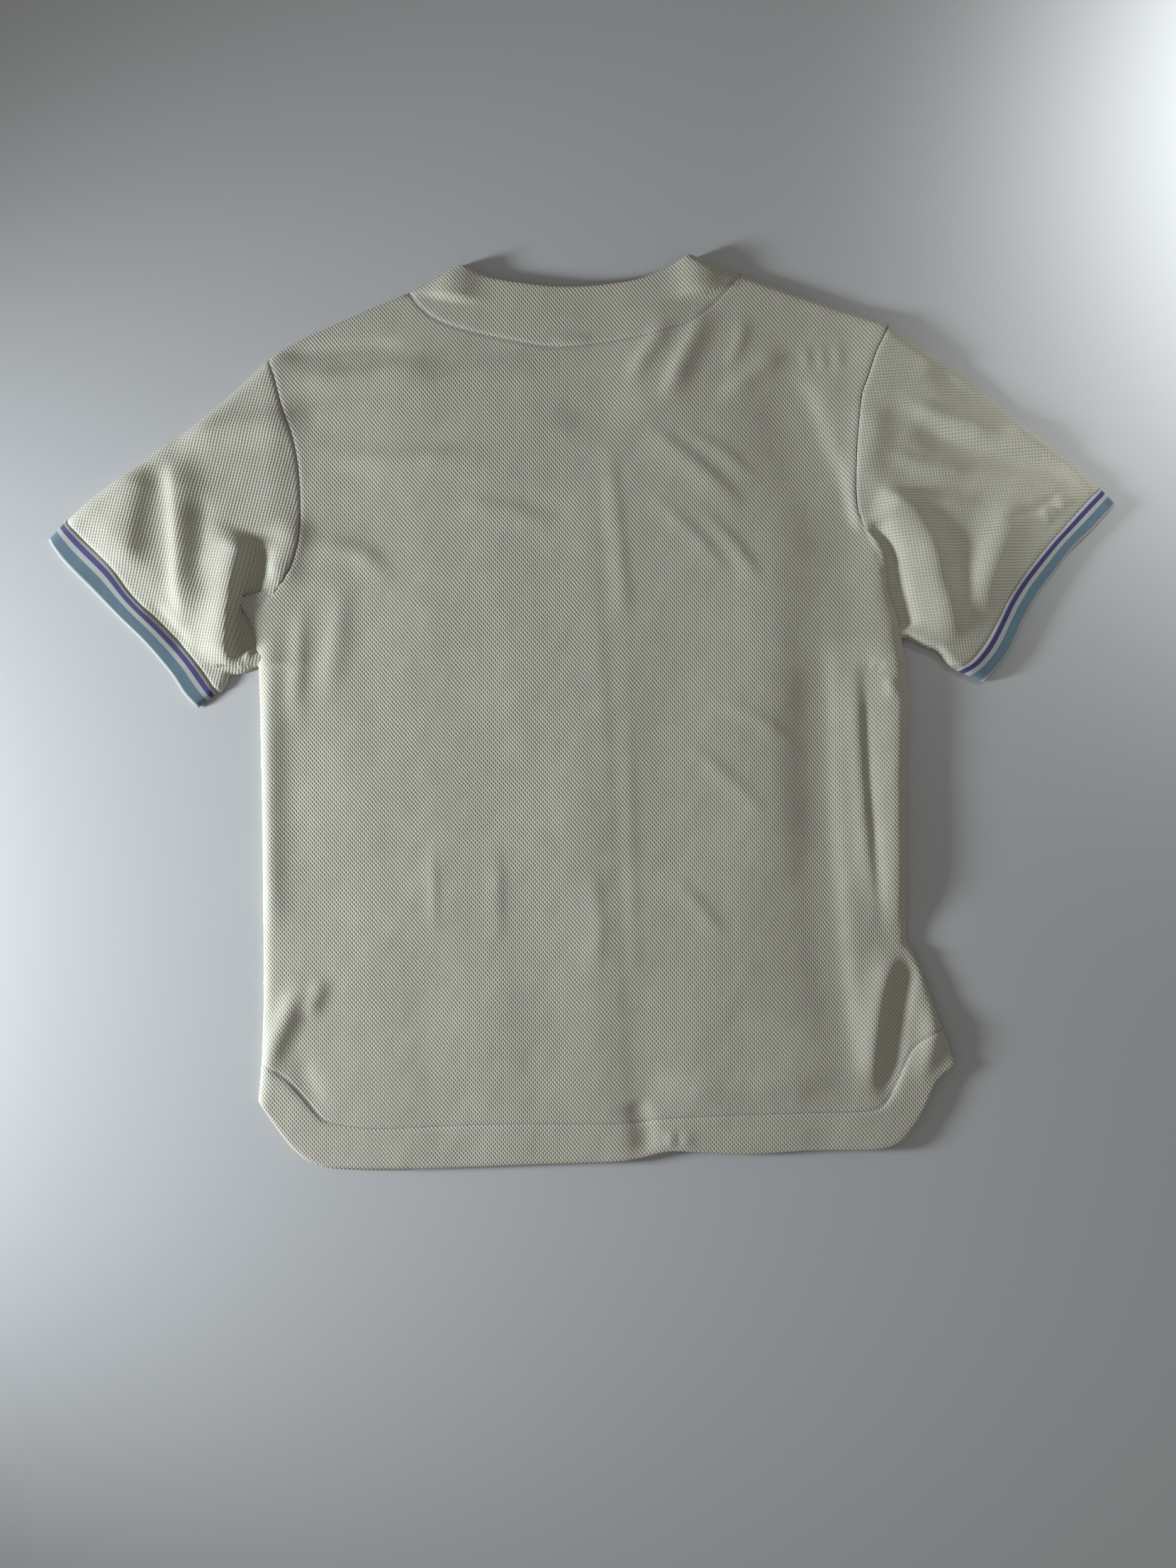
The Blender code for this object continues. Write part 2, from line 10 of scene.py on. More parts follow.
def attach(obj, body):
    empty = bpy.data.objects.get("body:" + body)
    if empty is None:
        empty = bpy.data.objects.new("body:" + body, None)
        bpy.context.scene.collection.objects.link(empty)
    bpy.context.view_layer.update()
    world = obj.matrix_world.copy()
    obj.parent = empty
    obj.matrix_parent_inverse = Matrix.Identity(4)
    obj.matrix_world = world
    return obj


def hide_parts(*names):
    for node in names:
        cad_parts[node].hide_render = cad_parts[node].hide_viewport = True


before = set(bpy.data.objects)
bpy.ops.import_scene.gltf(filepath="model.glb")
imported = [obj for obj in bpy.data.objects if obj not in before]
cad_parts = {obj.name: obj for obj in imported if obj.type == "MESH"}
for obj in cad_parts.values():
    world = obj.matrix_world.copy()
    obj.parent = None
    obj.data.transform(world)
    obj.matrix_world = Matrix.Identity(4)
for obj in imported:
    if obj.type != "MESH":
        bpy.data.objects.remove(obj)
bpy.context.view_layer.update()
mm = 0.001  # every table below is in millimetres, with +X across the body and +Y towards the neck

# The garment's outlines

hemTable = {
    "edge": ((-277.5, -333), (-269, -345), (-257, -362), (-245, -376), (-232, -384.5), (-206, -390),
             (-130, -390.4), (-50, -387.4), (24, -384.4), (47, -381.8), (72, -376), (85, -375.2),
             (142, -377.6), (195, -374.6), (250, -373.6), (267, -370.5), (277, -364), (285, -353),
             (293, -340), (303, -317), (310, -309.3), (320.3, -300.7)),
    "stitch": ((-274.5, -301), (-256, -311), (-237, -330), (-221, -348), (-204, -352.8), (-171, -355.6),
               (-74, -351.6), (36, -351.2), (66, -347.6), (110, -344.6), (200, -342), (240, -340.6),
               (258, -335.5), (270, -315), (281, -290.5), (293, -278), (309, -269.6)),
    "lip": 2.4,  # how far the left front shows below the back
}
sideTable = {
    # the edge below the sleeve, from the hem stitching up
    "left": ((-274.5, -301), (-273.8, -265), (-273.2, -240), (-274, -120), (-276, -2), (-277, 40),
             (-279.6, 63), (-284, 79), (-290, 89), (-296.5, 97)),
    "right": ((309, -269.6), (304.5, -258.6), (293.5, -226), (286, -208), (279, -195)),
    "rightUpper": ((279, -195), (279.6, -149), (279, -75), (279.2, -45), (281.8, 9), (279.4, 34),
                   (275, 58), (268, 86), (261.5, 104), (260.5, 118)),
    # the armhole seam up to the shoulder
    "leftTuck": ((-296.5, 97), (-286, 99.8), (-274, 103.4), (-266, 106.5)),
    "leftSeam": ((-266, 106.5), (-254, 114), (-247.6, 124.4), (-244, 135), (-241.4, 147), (-240.4, 165),
                 (-241.6, 202), (-246.4, 233.6), (-255.6, 260), (-262.3, 286), (-268.5, 303.5)),
    "rightTuck": ((260.5, 118), (258.8, 132), (255.6, 142), (247, 155), (239.8, 164.5)),
    "rightSeam": ((239.8, 164.5), (235.8, 175), (234.2, 203), (235.5, 237), (239.3, 272), (244, 286),
                  (251.3, 308.5), (257.4, 321), (263, 334.3)),
    "rows": 214,
}
topTable = {
    "leftShoulder": ((-268.5, 303.5), (-257, 311.5), (-232, 325), (-196, 341), (-149, 361)),
    "facing": ((-149, 361), (-139, 347), (-122.5, 335), (-98, 326.5), (-62, 318.6), (-25, 312.6),
               (12, 315.4), (48, 321.5), (73, 327.6), (95, 336), (111, 348), (127.5, 364.5),
               (137, 377.5)),
    "rightShoulder": ((137, 377.5), (170, 365.6), (219, 349), (263, 334.3)),
    "leftNeckSide": ((-149, 361), (-128, 372), (-106, 383.4)),
    "rightNeckSide": ((137, 377.5), (119, 383), (97, 391.6)),
    "neck": ((-106, 383.4), (-97, 380), (-86, 375), (-73, 371.4), (-49, 367.7), (-25, 365), (0, 365),
             (24, 367.2), (48, 371), (72, 380), (89, 389.4), (97, 391.6)),
    "columns": (38, 104, 40),
    "bandRows": 20,
}
sleeveTable = {
    "left": {
        # the armhole row goes on under the body's edge below the seam
        "start": ((-268.5, 303.5), (-262.3, 286), (-255.6, 260), (-246.4, 233.6), (-241.6, 202),
                  (-240.4, 165), (-241.4, 147), (-244, 135), (-248, 124), (-254, 114), (-262, 102),
                  (-266, 86), (-266, 62), (-266, 42)),
        "upper": ((-268.5, 303.5), (-293.4, 280.5), (-318, 258.8), (-342, 240), (-361, 228.4),
                  (-379, 214.2), (-403, 197.6), (-424.6, 181), (-443, 164.5)),
        "lower": ((-266, 42), (-281, 38.5), (-286, 35.5), (-293.5, 33.2), (-301.5, 32), (-304, 26),
                  (-308.7, 18.6), (-313, 17)),
        "cuffSeam": ((-443, 164.5), (-427.6, 149), (-403, 124.4), (-385, 100), (-360.5, 75.6),
                     (-339.5, 54), (-324, 34), (-313, 17)),
        "cuffEdge": ((-457.5, 149), (-443, 129), (-421.5, 107), (-397, 82), (-373, 58.6),
                     (-351.5, 33), (-340, 15.5), (-329, 4.5)),
        "grain": 214,
    },
    "right": {
        "start": ((263, 334.3), (257.4, 321), (251.3, 308.5), (244, 286), (239.3, 272), (235.5, 237),
                  (234.2, 203), (235.8, 175), (239.6, 164), (246, 150), (250, 132), (252, 110),
                  (258, 84), (264, 60)),
        "upper": ((263, 334.3), (292, 313.6), (329, 287.5), (365.4, 258.6), (402, 228.8),
                  (429.5, 206.8), (445, 193)),
        "lower": ((264, 60), (277.6, 63.5), (284, 61), (295, 56), (304.5, 52.5), (313.5, 42.5),
                  (320, 37)),
        "cuffSeam": ((445, 193), (432.5, 180.6), (414, 160), (396, 139.7), (377.6, 116.5), (364.8, 97),
                     (356, 78.7), (345, 58.6), (333, 44), (320, 37)),
        "cuffEdge": ((458.2, 179.5), (438.6, 158), (420, 139.7), (406, 121.4), (391, 101.3),
                     (377.6, 77), (366.6, 52.5), (355, 37), (345, 26.5)),
        "grain": -38,
    },
    "columns": 96,
    "rows": 84,
    "cuffRows": 12,
    "cuffLength": 220.0,  # half of the way round
    "cuffDepth": 24,
}

# Folds of the upper layer. height is up or down, left and right are how far the fold's two sides
# reach, seen along its path, and fade is the share of the path that it grows and dies over.
Fold = namedtuple("Fold", "on height left right fade path")
folds = (
    # the body's left edge and the corner of the hem
    Fold("body", 2.8, 12, 9, 0.2, ((-264, 84), (-266, 4), (-267, -118), (-264, -204))),
    Fold("body", 4, 9, 9, 0.35, ((-234, -223), (-252, -260), (-267, -298), (-269, -320))),
    Fold("body", 2.4, 7, 8, 0.4, ((-219, -223), (-228, -246), (-235, -265))),
    Fold("body", -1.8, 9, 10, 0.4, ((-242, -283), (-234, -320), (-214, -344))),
    # below the left underarm
    Fold("body", 2.2, 8, 8, 0.4, ((-236, 104), (-240, 65), (-244, 13), (-242, -21))),
    Fold("body", 1.8, 10, 9, 0.4, ((-204, 120), (-209, 65), (-219, -2))),
    Fold("body", 2.2, 8, 10, 0.4, ((-242, 124), (-214, 140), (-184, 134), (-159, 107))),
    # the left shoulder and chest
    Fold("body", -2.6, 5, 6, 0.25, ((-265, 305), (-214, 310), (-150, 315))),
    Fold("all", 3.4, 8, 15, 0.3, ((-259, 284), (-208, 287), (-159, 293), (-110, 306))),
    Fold("body", 3, 9, 17, 0.3, ((-258, 244), (-196, 260), (-135, 279), (-74, 296), (-19, 309))),
    Fold("body", 1.9, 7, 15, 0.35, ((-232, 216), (-159, 218), (-71, 223))),
    Fold("body", 1.2, 7, 12, 0.4, ((-110, 177), (-62, 173), (-13, 159))),
    Fold("body", -2, 14, 14, 0.4, ((-28, 254), (12, 257), (51, 272))),
    # the middle of the back
    Fold("body", 1.1, 6, 10, 0.3, ((23, 244), (27, 193), (34, 126), (38, 62))),
    Fold("body", 0.6, 5, 9, 0.4, ((38, 62), (41, -57), (44, -179), (47, -289))),
    Fold("body", 0.9, 5, 9, 0.4, ((-74, -100), (-71, -155), (-73, -204))),
    Fold("body", 0.8, 4, 6, 0.4, ((-127, -106), (-125, -198))),
    Fold("body", 0.9, 6, 9, 0.4, ((5, -118), (15, -179), (10, -240))),
    Fold("body", 0.8, 6, 9, 0.4, ((-80, -104), (-19, -106))),
    # beside the right end of the neck
    Fold("body", 2.4, 8, 8, 0.35, ((77, 342), (57, 309), (36, 279))),
    Fold("body", 3.2, 11, 8, 0.35, ((112, 350), (94, 318), (77, 281), (66, 260))),
    Fold("body", 2.6, 9, 8, 0.35, ((179, 312), (146, 289), (114, 266))),
    Fold("body", 1.6, 6, 6, 0.4, ((141, 345), (134, 315), (121, 290))),
    Fold("body", 1.3, 4, 5, 0.4, ((191, 318), (195, 288))),
    Fold("body", 1.3, 4, 5, 0.4, ((204, 318), (208, 288))),
    Fold("body", 1.3, 4, 5, 0.4, ((219, 321), (220, 287))),
    # fine lines across the right half
    Fold("body", 1.9, 6, 13, 0.35, ((49, 248), (97, 214), (143, 171))),
    Fold("body", 1.3, 5, 10, 0.4, ((77, 245), (121, 223), (155, 193))),
    Fold("body", 1.3, 5, 9, 0.4, ((94, 178), (131, 144), (158, 101))),
    Fold("body", 1, 5, 9, 0.4, ((51, 193), (100, 150), (134, 107))),
    Fold("body", 1, 5, 9, 0.4, ((85, -21), (127, -57), (167, -97))),
    Fold("body", 1, 5, 9, 0.4, ((73, -135), (103, -167), (131, -201))),
    Fold("body", 0.9, 5, 8, 0.4, ((103, 10), (146, -2), (188, -33))),
    # the right flank, down to the hem
    Fold("body", -6, 12, 36, 0.2, ((174, 296), (192, 249), (204, 217), (220, 185), (235, 157),
                                   (247, 126))),
    Fold("body", -4.6, 11, 26, 0.2, ((201, 89), (206, 4), (207, -57), (212, -149), (220, -240),
                                     (236, -326))),
    Fold("body", 3, 28, 40, 0.3, ((158, 187), (161, 4), (164, -179))),
    Fold("body", 2.2, 8, 9, 0.3, ((234, 71), (235, 4), (239, -76), (246, -167))),
    Fold("body", -1.6, 5, 4, 0.3, ((239, 59), (245, -57), (256, -173), (259, -204))),
    Fold("body", 6.5, 9, 24, 0.2, ((259, 83), (270, 28), (271, -57), (271, -143), (269, -195))),
    Fold("body", 4.5, 9, 14, 0.25, ((269, -195), (259, -240), (254, -289), (251, -329))),
    Fold("body", -8, 9, 9, 0.3, ((282, -204), (271, -240), (263, -289), (259, -338))),
    Fold("body", 2, 4, 4, 0.4, ((271, -253), (265, -283), (262, -314))),
    Fold("body", 4, 8, 9, 0.4, ((293, -240), (300, -277), (286, -320))),
    Fold("body", 1.8, 3, 4, 0.4, ((260, 34), (264, 22), (267, 10))),
    # above and on the right half of the hem
    Fold("body", 3.4, 14, 16, 0.3, ((51, -315), (109, -320), (176, -318), (231, -314))),
    Fold("body", -3.2, 8, 10, 0.2, ((46, -329), (53, -350), (56, -378))),
    Fold("body", 1.8, 3, 4, 0.4, ((76, -356), (77, -373))),
    Fold("body", 1.4, 5, 6, 0.4, ((88, -357), (92, -373))),
    Fold("body", 1.6, 12, 14, 0.4, ((109, -364), (158, -362), (219, -361))),
    # the two corners of the neck
    Fold("body", 5, 20, 20, 0.1, ((-106, 392), (-112, 352))),
    Fold("body", 6, 22, 20, 0.1, ((96, 400), (104, 356))),
    Fold("body", 1.1, 3, 4, 0.3, ((-27, 318), (10, 320))),
    # the head of the left sleeve
    Fold("all", 3.4, 12, 15, 0.3, ((-352, 237), (-306, 242), (-257, 248), (-226, 250))),
    Fold("all", 4.2, 15, 15, 0.3, ((-249, 173), (-247, 144), (-260, 122), (-274, 109))),
    # down the left sleeve
    Fold("sleeve", 4.5, 13, 24, 0.25, ((-373, 216), (-381, 187), (-387, 150), (-387, 117))),
    Fold("sleeve", 5.5, 18, 9, 0.2, ((-350, 223), (-345, 187), (-343, 144), (-341, 101), (-335, 74))),
    Fold("sleeve", -2.4, 10, 12, 0.3, ((-326, 193), (-327, 144), (-331, 102))),
    Fold("sleeve", 9, 8, 19, 0.16, ((-284, 155), (-292, 137), (-298, 113), (-301, 86), (-303, 57),
                                    (-307, 37))),
    Fold("sleeve", -8, 10, 7, 0.16, ((-276, 146), (-278, 126), (-282, 104), (-287, 86), (-289, 65),
                                     (-287, 45))),
    Fold("sleeve", -5, 10, 7, 0.2, ((-281, 95), (-282, 74), (-284, 49))),
    Fold("sleeve", 4, 3, 4, 0.3, ((-281, 79), (-281, 59), (-289, 44))),
    Fold("sleeve", -3.4, 6, 9, 0.3, ((-371, 96), (-351, 72), (-333, 54))),
    # down the right sleeve
    Fold("sleeve", -4.5, 10, 10, 0.25, ((293, 298), (335, 272), (381, 245))),
    Fold("sleeve", 3.6, 8, 8, 0.3, ((269, 266), (317, 249), (362, 235))),
    Fold("sleeve", -5.5, 9, 12, 0.2, ((277, 245), (323, 228), (365, 217), (408, 209), (431, 192))),
    Fold("sleeve", 2.6, 6, 8, 0.3, ((245, 193), (286, 179), (344, 182))),
    Fold("sleeve", 1.8, 6, 8, 0.3, ((256, 223), (298, 210), (341, 206))),
    Fold("all", 3, 14, 14, 0.3, ((251, 272), (245, 223), (242, 187))),
    Fold("sleeve", 7, 13, 20, 0.15, ((248, 185), (275, 173), (294, 149), (306, 113), (313, 77),
                                     (317, 56))),
    Fold("sleeve", -9.5, 10, 16, 0.1, ((247, 163), (260, 138), (269, 101), (276, 68))),
    Fold("sleeve", -3, 13, 13, 0.3, ((324, 165), (321, 126), (320, 95))),
    Fold("sleeve", 4.4, 12, 14, 0.25, ((370, 187), (354, 138), (337, 77))),
    Fold("sleeve", -1.6, 4, 4, 0.35, ((353, 162), (384, 172), (422, 193))),
    Fold("sleeve", 2, 5, 5, 0.35, ((392, 176), (402, 161))),
    Fold("sleeve", 2, 5, 5, 0.35, ((404, 187), (415, 173))),
)

clothTable = {
    "floorRest": 1.0,     # the lowest that the upper layer's edge comes
    "rest": 2.0,          # its stand over that where it lies on the front
    "bodyLoft": 3.4,
    "sleeveLoft": 6.0,
    "cuffLoft": 2.0,
    "thickness": 0.9,
    "seamDip": 0.6,
    "seamWide": 1.5,
    "placketLift": 0.5,
    "softFloor": 3.0,
    "ripple": 0.55,
    "rippleSize": 120,
    "crumple": 0.10,
    "crumpleSize": 26,
    "seamEase": 15,       # a fold of one piece dies out this far from an armhole seam
    "bodyEdges": (-270, 262),
    "edgeBlend": 40,
    "cuffFade": (8, 44),  # where the loft starts to fall to the cuff's, and how far it takes
    "stitchDip": 0.6,
    "stitchWide": 1.3,
    "lowerFace": 0.95,    # the underside of the sleeves, and of the cuffs
    "cuffLowerFace": 1.25,
}


def smoothLine(points, fractions):
    knots = np.array(points, dtype=float)
    padded = np.vstack([2 * knots[0] - knots[1], knots, 2 * knots[-1] - knots[-2]])
    dense = []
    for i in range(1, len(padded) - 2):
        a, b, c, d = padded[i - 1:i + 3]
        for t in np.linspace(0, 1, 14, endpoint=False):
            dense.append(0.5 * (2 * b + (c - a) * t + (2 * a - 5 * b + 4 * c - d) * t ** 2
                                + (3 * b - a - 3 * c + d) * t ** 3))
    dense = np.array(dense + [knots[-1]])
    if np.isscalar(fractions):
        fractions = np.linspace(0, 1, fractions)
    at = lengthShares(dense)
    return np.column_stack([np.interp(fractions, at, dense[:, k]) for k in (0, 1)])


def lengthShares(line):
    steps = np.linalg.norm(np.diff(line, axis=0), axis=1)
    lengths = np.concatenate([[0.0], np.cumsum(steps)])
    return lengths / lengths[-1]


def fillPatch(bottom, top, left, right, u, v):
    uu, vv = u[None, :, None], v[:, None, None]
    across = (1 - vv) * bottom[None] + vv * top[None]
    along = (1 - uu) * left[:, None] + uu * right[:, None]
    corners = ((1 - uu) * (1 - vv) * bottom[0] + uu * (1 - vv) * bottom[-1]
               + (1 - uu) * vv * top[0] + uu * vv * top[-1])
    return across + along - corners


def nearestOn(line, plan):
    # distance to a line, the share of it that the nearest place is at, and the side (1 is left)
    line = np.asarray(line, dtype=float)
    shares = lengthShares(line)
    best = np.full(plan.shape[:-1], np.inf)
    share = np.zeros(plan.shape[:-1])
    side = np.ones(plan.shape[:-1])
    for k in range(len(line) - 1):
        run = line[k + 1] - line[k]
        away = plan - line[k]
        t = np.clip((away @ run) / (run @ run), 0, 1)
        distance = np.linalg.norm(away - t[..., None] * run, axis=-1)
        nearer = distance < best
        best = np.where(nearer, distance, best)
        share = np.where(nearer, shares[k] + t * (shares[k + 1] - shares[k]), share)
        cross = run[0] * away[..., 1] - run[1] * away[..., 0]
        side = np.where(nearer, np.sign(cross), side)
    return best, share, side


def softStep(value, reach=1.0):
    t = np.clip(value / reach, 0, 1)
    return t * t * (3 - 2 * t)


def seamLines():
    return smoothLine(sideTable["leftSeam"], 50), smoothLine(sideTable["rightSeam"], 50)


def foldHeight(plan, wanted):
    total = np.zeros(plan.shape[:-1])
    # a fold of one piece dies out at the armhole seam, where the pieces meet
    ease = np.ones(plan.shape[:-1])
    for seam in seamLines():
        ease = np.minimum(ease, softStep(nearestOn(seam, plan)[0], clothTable["seamEase"]))
    for fold in folds:
        if fold.on not in ("all", wanted):
            continue
        line = smoothLine(fold.path, 4 * len(fold.path)) if len(fold.path) > 2 else fold.path
        distance, share, side = nearestOn(line, plan)
        reach = np.where(side > 0, fold.left, fold.right)
        ends = softStep(share, fold.fade) * softStep(1 - share, fold.fade)
        near = np.exp(-(distance / reach) ** 2)
        total = total + fold.height * ends * near * (1 if fold.on == "all" else ease)
    return total


def ripple(plan, size, seed):
    # an even, seeded swell made of crossing waves
    draw = np.random.default_rng(seed)
    total = np.zeros(plan.shape[:-1])
    for _ in range(14):
        angle = draw.uniform(0, math.pi)
        length = size * draw.uniform(0.6, 1.7)
        along = math.cos(angle) * plan[..., 0] + math.sin(angle) * plan[..., 1]
        wave = along * 2 * math.pi / length
        bend = draw.uniform(0, 6.28) + 0.8 * np.sin(plan[..., 0] / size + draw.uniform(0, 6.28))
        total = total + np.sin(wave + bend)
    return total / 14 ** 0.5


# Edges that the cloth turns down at: the line, how wide the turn is, and what share of the height
# is left at the edge, from the line's start to its end
Turn = namedtuple("Turn", "on wide keep line")
leftSide = smoothLine(sideTable["left"], 80)
hemTips = hemTable["edge"][0], hemTable["edge"][-1]
rightSide = np.vstack([smoothLine(sideTable["right"], 24),
                       smoothLine(sideTable["rightUpper"], 70)[1:]])
turns = [
    Turn("body", 10, (0.1, 0, 0, 0, 0, 0, 0, 0.1, 0.62, 0.75), np.vstack([hemTips[0], leftSide])),
    Turn("body", 3.5, (0.75, 0.85), np.array(sideTable["leftTuck"][:3], dtype=float)),
    Turn("body", 6, (0.8, 0.6, 0.45), np.vstack([hemTips[1], smoothLine(sideTable["right"], 24)])),
    Turn("body", 11, (0.2, 0, 0, 0, 0, 0, 0.2, 0.6, 0.7), smoothLine(sideTable["rightUpper"], 70)),
    Turn("body", 3.5, (0.7, 0.85), smoothLine(sideTable["rightTuck"], 12)),
    Turn("body", 9, (0, 0), smoothLine(topTable["leftShoulder"], 20)),
    Turn("body", 9, (0, 0), smoothLine(topTable["leftNeckSide"], 20)),
    Turn("body", 9, (0, 0), smoothLine(topTable["rightNeckSide"], 20)),
    Turn("body", 9, (0, 0), smoothLine(topTable["rightShoulder"], 20)),
    Turn("body", 3, (0.5, 0.4, 0.4, 0.4, 0.75, 0.8, 0.8, 0.8, 0.8), smoothLine(hemTable["edge"], 120)),
    Turn("body", 2.5, (0.8, 0.8), smoothLine(topTable["neck"], 60)),
    Turn("sleeve", 12, (0, 0), smoothLine(sleeveTable["left"]["upper"], 40)),
    Turn("sleeve", 12, (0, 0), smoothLine(sleeveTable["right"]["upper"], 40)),
    Turn("sleeve", 7, (0, 0), smoothLine(sleeveTable["left"]["lower"], 30)),
    Turn("sleeve", 7, (0, 0), smoothLine(sleeveTable["right"]["lower"], 30)),
]
for name in ("left", "right"):
    cut = sleeveTable[name]
    for k in (0, -1):
        ending = np.array([cut["cuffSeam"][k], cut["cuffEdge"][k]], dtype=float)
        turns.append(Turn("sleeve", 10 if k == 0 else 6, (0, 0), ending))


# Where the fronts overlap, below the back: the middle line runs from the foot of the vee to the hem
placketTable = {"foot": (-3, 185), "hem": 28, "halfOverlap": 16, "length": 570}


def placketEdge(level, side=1):
    # the inner edge of the left front (side 1) or of the right one (side -1)
    t = placketTable
    footX, footY = t["foot"]
    return footX + side * t["halfOverlap"] + (t["hem"] - footX) * (footY - level) / t["length"]


def clothHeight(plan, wanted):
    # the upper face of the upper layer, in millimetres
    t = clothTable
    x, y = plan[..., 0], plan[..., 1]
    leftEdge, rightEdge = t["bodyEdges"]
    onBody = softStep(x - leftEdge, t["edgeBlend"]) * softStep(rightEdge - x, t["edgeBlend"])
    onBody = np.where(y < 40, 1.0, onBody)
    loft = t["sleeveLoft"] + (t["bodyLoft"] - t["sleeveLoft"]) * onBody
    for name in ("left", "right"):
        distance, _, _ = nearestOn(smoothLine(sleeveTable[name]["cuffEdge"], 30), plan)
        fadeStart, fadeLength = t["cuffFade"]
        loft = loft + (t["cuffLoft"] - loft) * (1 - softStep(distance - fadeStart, fadeLength))
    loft = loft + foldHeight(plan, wanted)
    loft = (loft + t["ripple"] * ripple(plan, t["rippleSize"], 11)
            + t["crumple"] * ripple(plan, t["crumpleSize"], 5))
    if wanted == "body":
        overPlacket = softStep(placketEdge(y) + 6 - x, 13) * softStep(x - placketEdge(y) + 60, 34)
        loft = loft + t["placketLift"] * overPlacket * softStep(225 - y, 40)
    loft = (loft + np.sqrt(loft ** 2 + t["softFloor"] ** 2)) / 2 + t["rest"]
    for turn in turns:
        if turn.on != wanted:
            continue
        distance, share, _ = nearestOn(turn.line, plan)
        keep = np.interp(share, np.linspace(0, 1, len(turn.keep)), turn.keep)
        reach = np.clip(distance / turn.wide, 0, 1)
        loft = loft * (keep + (1 - keep) * np.sqrt(1 - (1 - reach) ** 2))
    return t["floorRest"] + loft


def dipAlong(plan, line, depth, wide):
    distance, _, _ = nearestOn(line, plan)
    return depth * np.exp(-(distance / wide) ** 2)


# Materials


def makeGroup(name, inputs, outputs):
    group = bpy.data.node_groups.new(name, "ShaderNodeTree")
    for label, kind, value in inputs:
        socket = group.interface.new_socket(label, in_out="INPUT", socket_type=kind)
        if value is not None:
            socket.default_value = value
    for label, kind in outputs:
        group.interface.new_socket(label, in_out="OUTPUT", socket_type=kind)
    return group, group.nodes.new("NodeGroupInput"), group.nodes.new("NodeGroupOutput")


def calc(tree, operation, a, b=None, c=None):
    node = tree.nodes.new("ShaderNodeMath")
    node.operation = operation
    for k, value in enumerate((a, b, c)):
        if value is None:
            continue
        if isinstance(value, (int, float)):
            node.inputs[k].default_value = value
        else:
            tree.links.new(value, node.inputs[k])
    return node.outputs[0]


def smoothMask(tree, value, low, high):
    node = tree.nodes.new("ShaderNodeMapRange")
    node.interpolation_type = "SMOOTHSTEP"
    tree.links.new(value, node.inputs["Value"])
    for label, at in (("From Min", low), ("From Max", high)):
        if isinstance(at, (int, float)):
            node.inputs[label].default_value = at
        else:
            tree.links.new(at, node.inputs[label])
    return node.outputs["Result"]


def noiseNode(tree, place, scale, detail=3.0):
    node = tree.nodes.new("ShaderNodeTexNoise")
    node.inputs["Scale"].default_value = scale
    node.inputs["Detail"].default_value = detail
    tree.links.new(place, node.inputs["Vector"])
    return node.outputs["Fac"]


def pinholeKnitGroup():
    # rows of small holes, each row set off by half a hole, between fine upright wales
    group, given, out = makeGroup(
        "pinholeKnit",
        (("Place", "NodeSocketVector", None), ("Hole Pitch", "NodeSocketFloat", 3.4),
         ("Row Pitch", "NodeSocketFloat", 3.9), ("Hole Size", "NodeSocketFloat", 0.3),
         ("Unevenness", "NodeSocketFloat", 0.1), ("Slant", "NodeSocketFloat", 0.3)),
        (("Hole", "NodeSocketFloat"), ("Height", "NodeSocketFloat")))
    place = given.outputs["Place"]
    split = group.nodes.new("ShaderNodeSeparateXYZ")
    group.links.new(place, split.inputs[0])
    across = calc(group, "DIVIDE", split.outputs[0], given.outputs["Hole Pitch"])
    along = calc(group, "DIVIDE", split.outputs[1], given.outputs["Row Pitch"])
    waver = calc(group, "MULTIPLY", calc(group, "SUBTRACT", noiseNode(group, place, 0.18), 0.5), 0.5)
    across = calc(group, "ADD", across, calc(group, "MULTIPLY", waver, given.outputs["Unevenness"]))
    distances = []
    for offset in (0.0, 0.5):
        fx = calc(group, "SUBTRACT", calc(group, "FRACT", calc(group, "ADD", across, offset)), 0.5)
        fy = calc(group, "SUBTRACT", calc(group, "FRACT", calc(group, "ADD", along, offset)), 0.5)
        leaning = calc(group, "MULTIPLY_ADD", fy, given.outputs["Slant"], fx)
        longer = calc(group, "MULTIPLY", fy, 0.78)
        square = calc(group, "MULTIPLY_ADD", longer, longer, calc(group, "MULTIPLY", leaning, leaning))
        distances.append(calc(group, "SQRT", square))
    nearest = calc(group, "MINIMUM", *distances)
    patchy = noiseNode(group, place, 0.05, 2.0)
    size = calc(group, "MULTIPLY", given.outputs["Hole Size"],
                calc(group, "MULTIPLY_ADD", patchy, 0.6, 0.7))
    inner = calc(group, "MULTIPLY", size, 0.4)
    hole = calc(group, "SUBTRACT", 1.0, smoothMask(group, nearest, inner, size))
    swell = smoothMask(group, nearest, 0.02, 0.42)
    wales = calc(group, "SINE", calc(group, "MULTIPLY", across, 6 * math.pi))
    fuzz = noiseNode(group, place, 2.2, 2.0)
    height = calc(group, "MULTIPLY_ADD", wales, 0.04, swell)
    height = calc(group, "MULTIPLY_ADD", fuzz, 0.22, height)
    group.links.new(hole, out.inputs["Hole"])
    group.links.new(height, out.inputs["Height"])
    return group


knitGroup = pinholeKnitGroup()


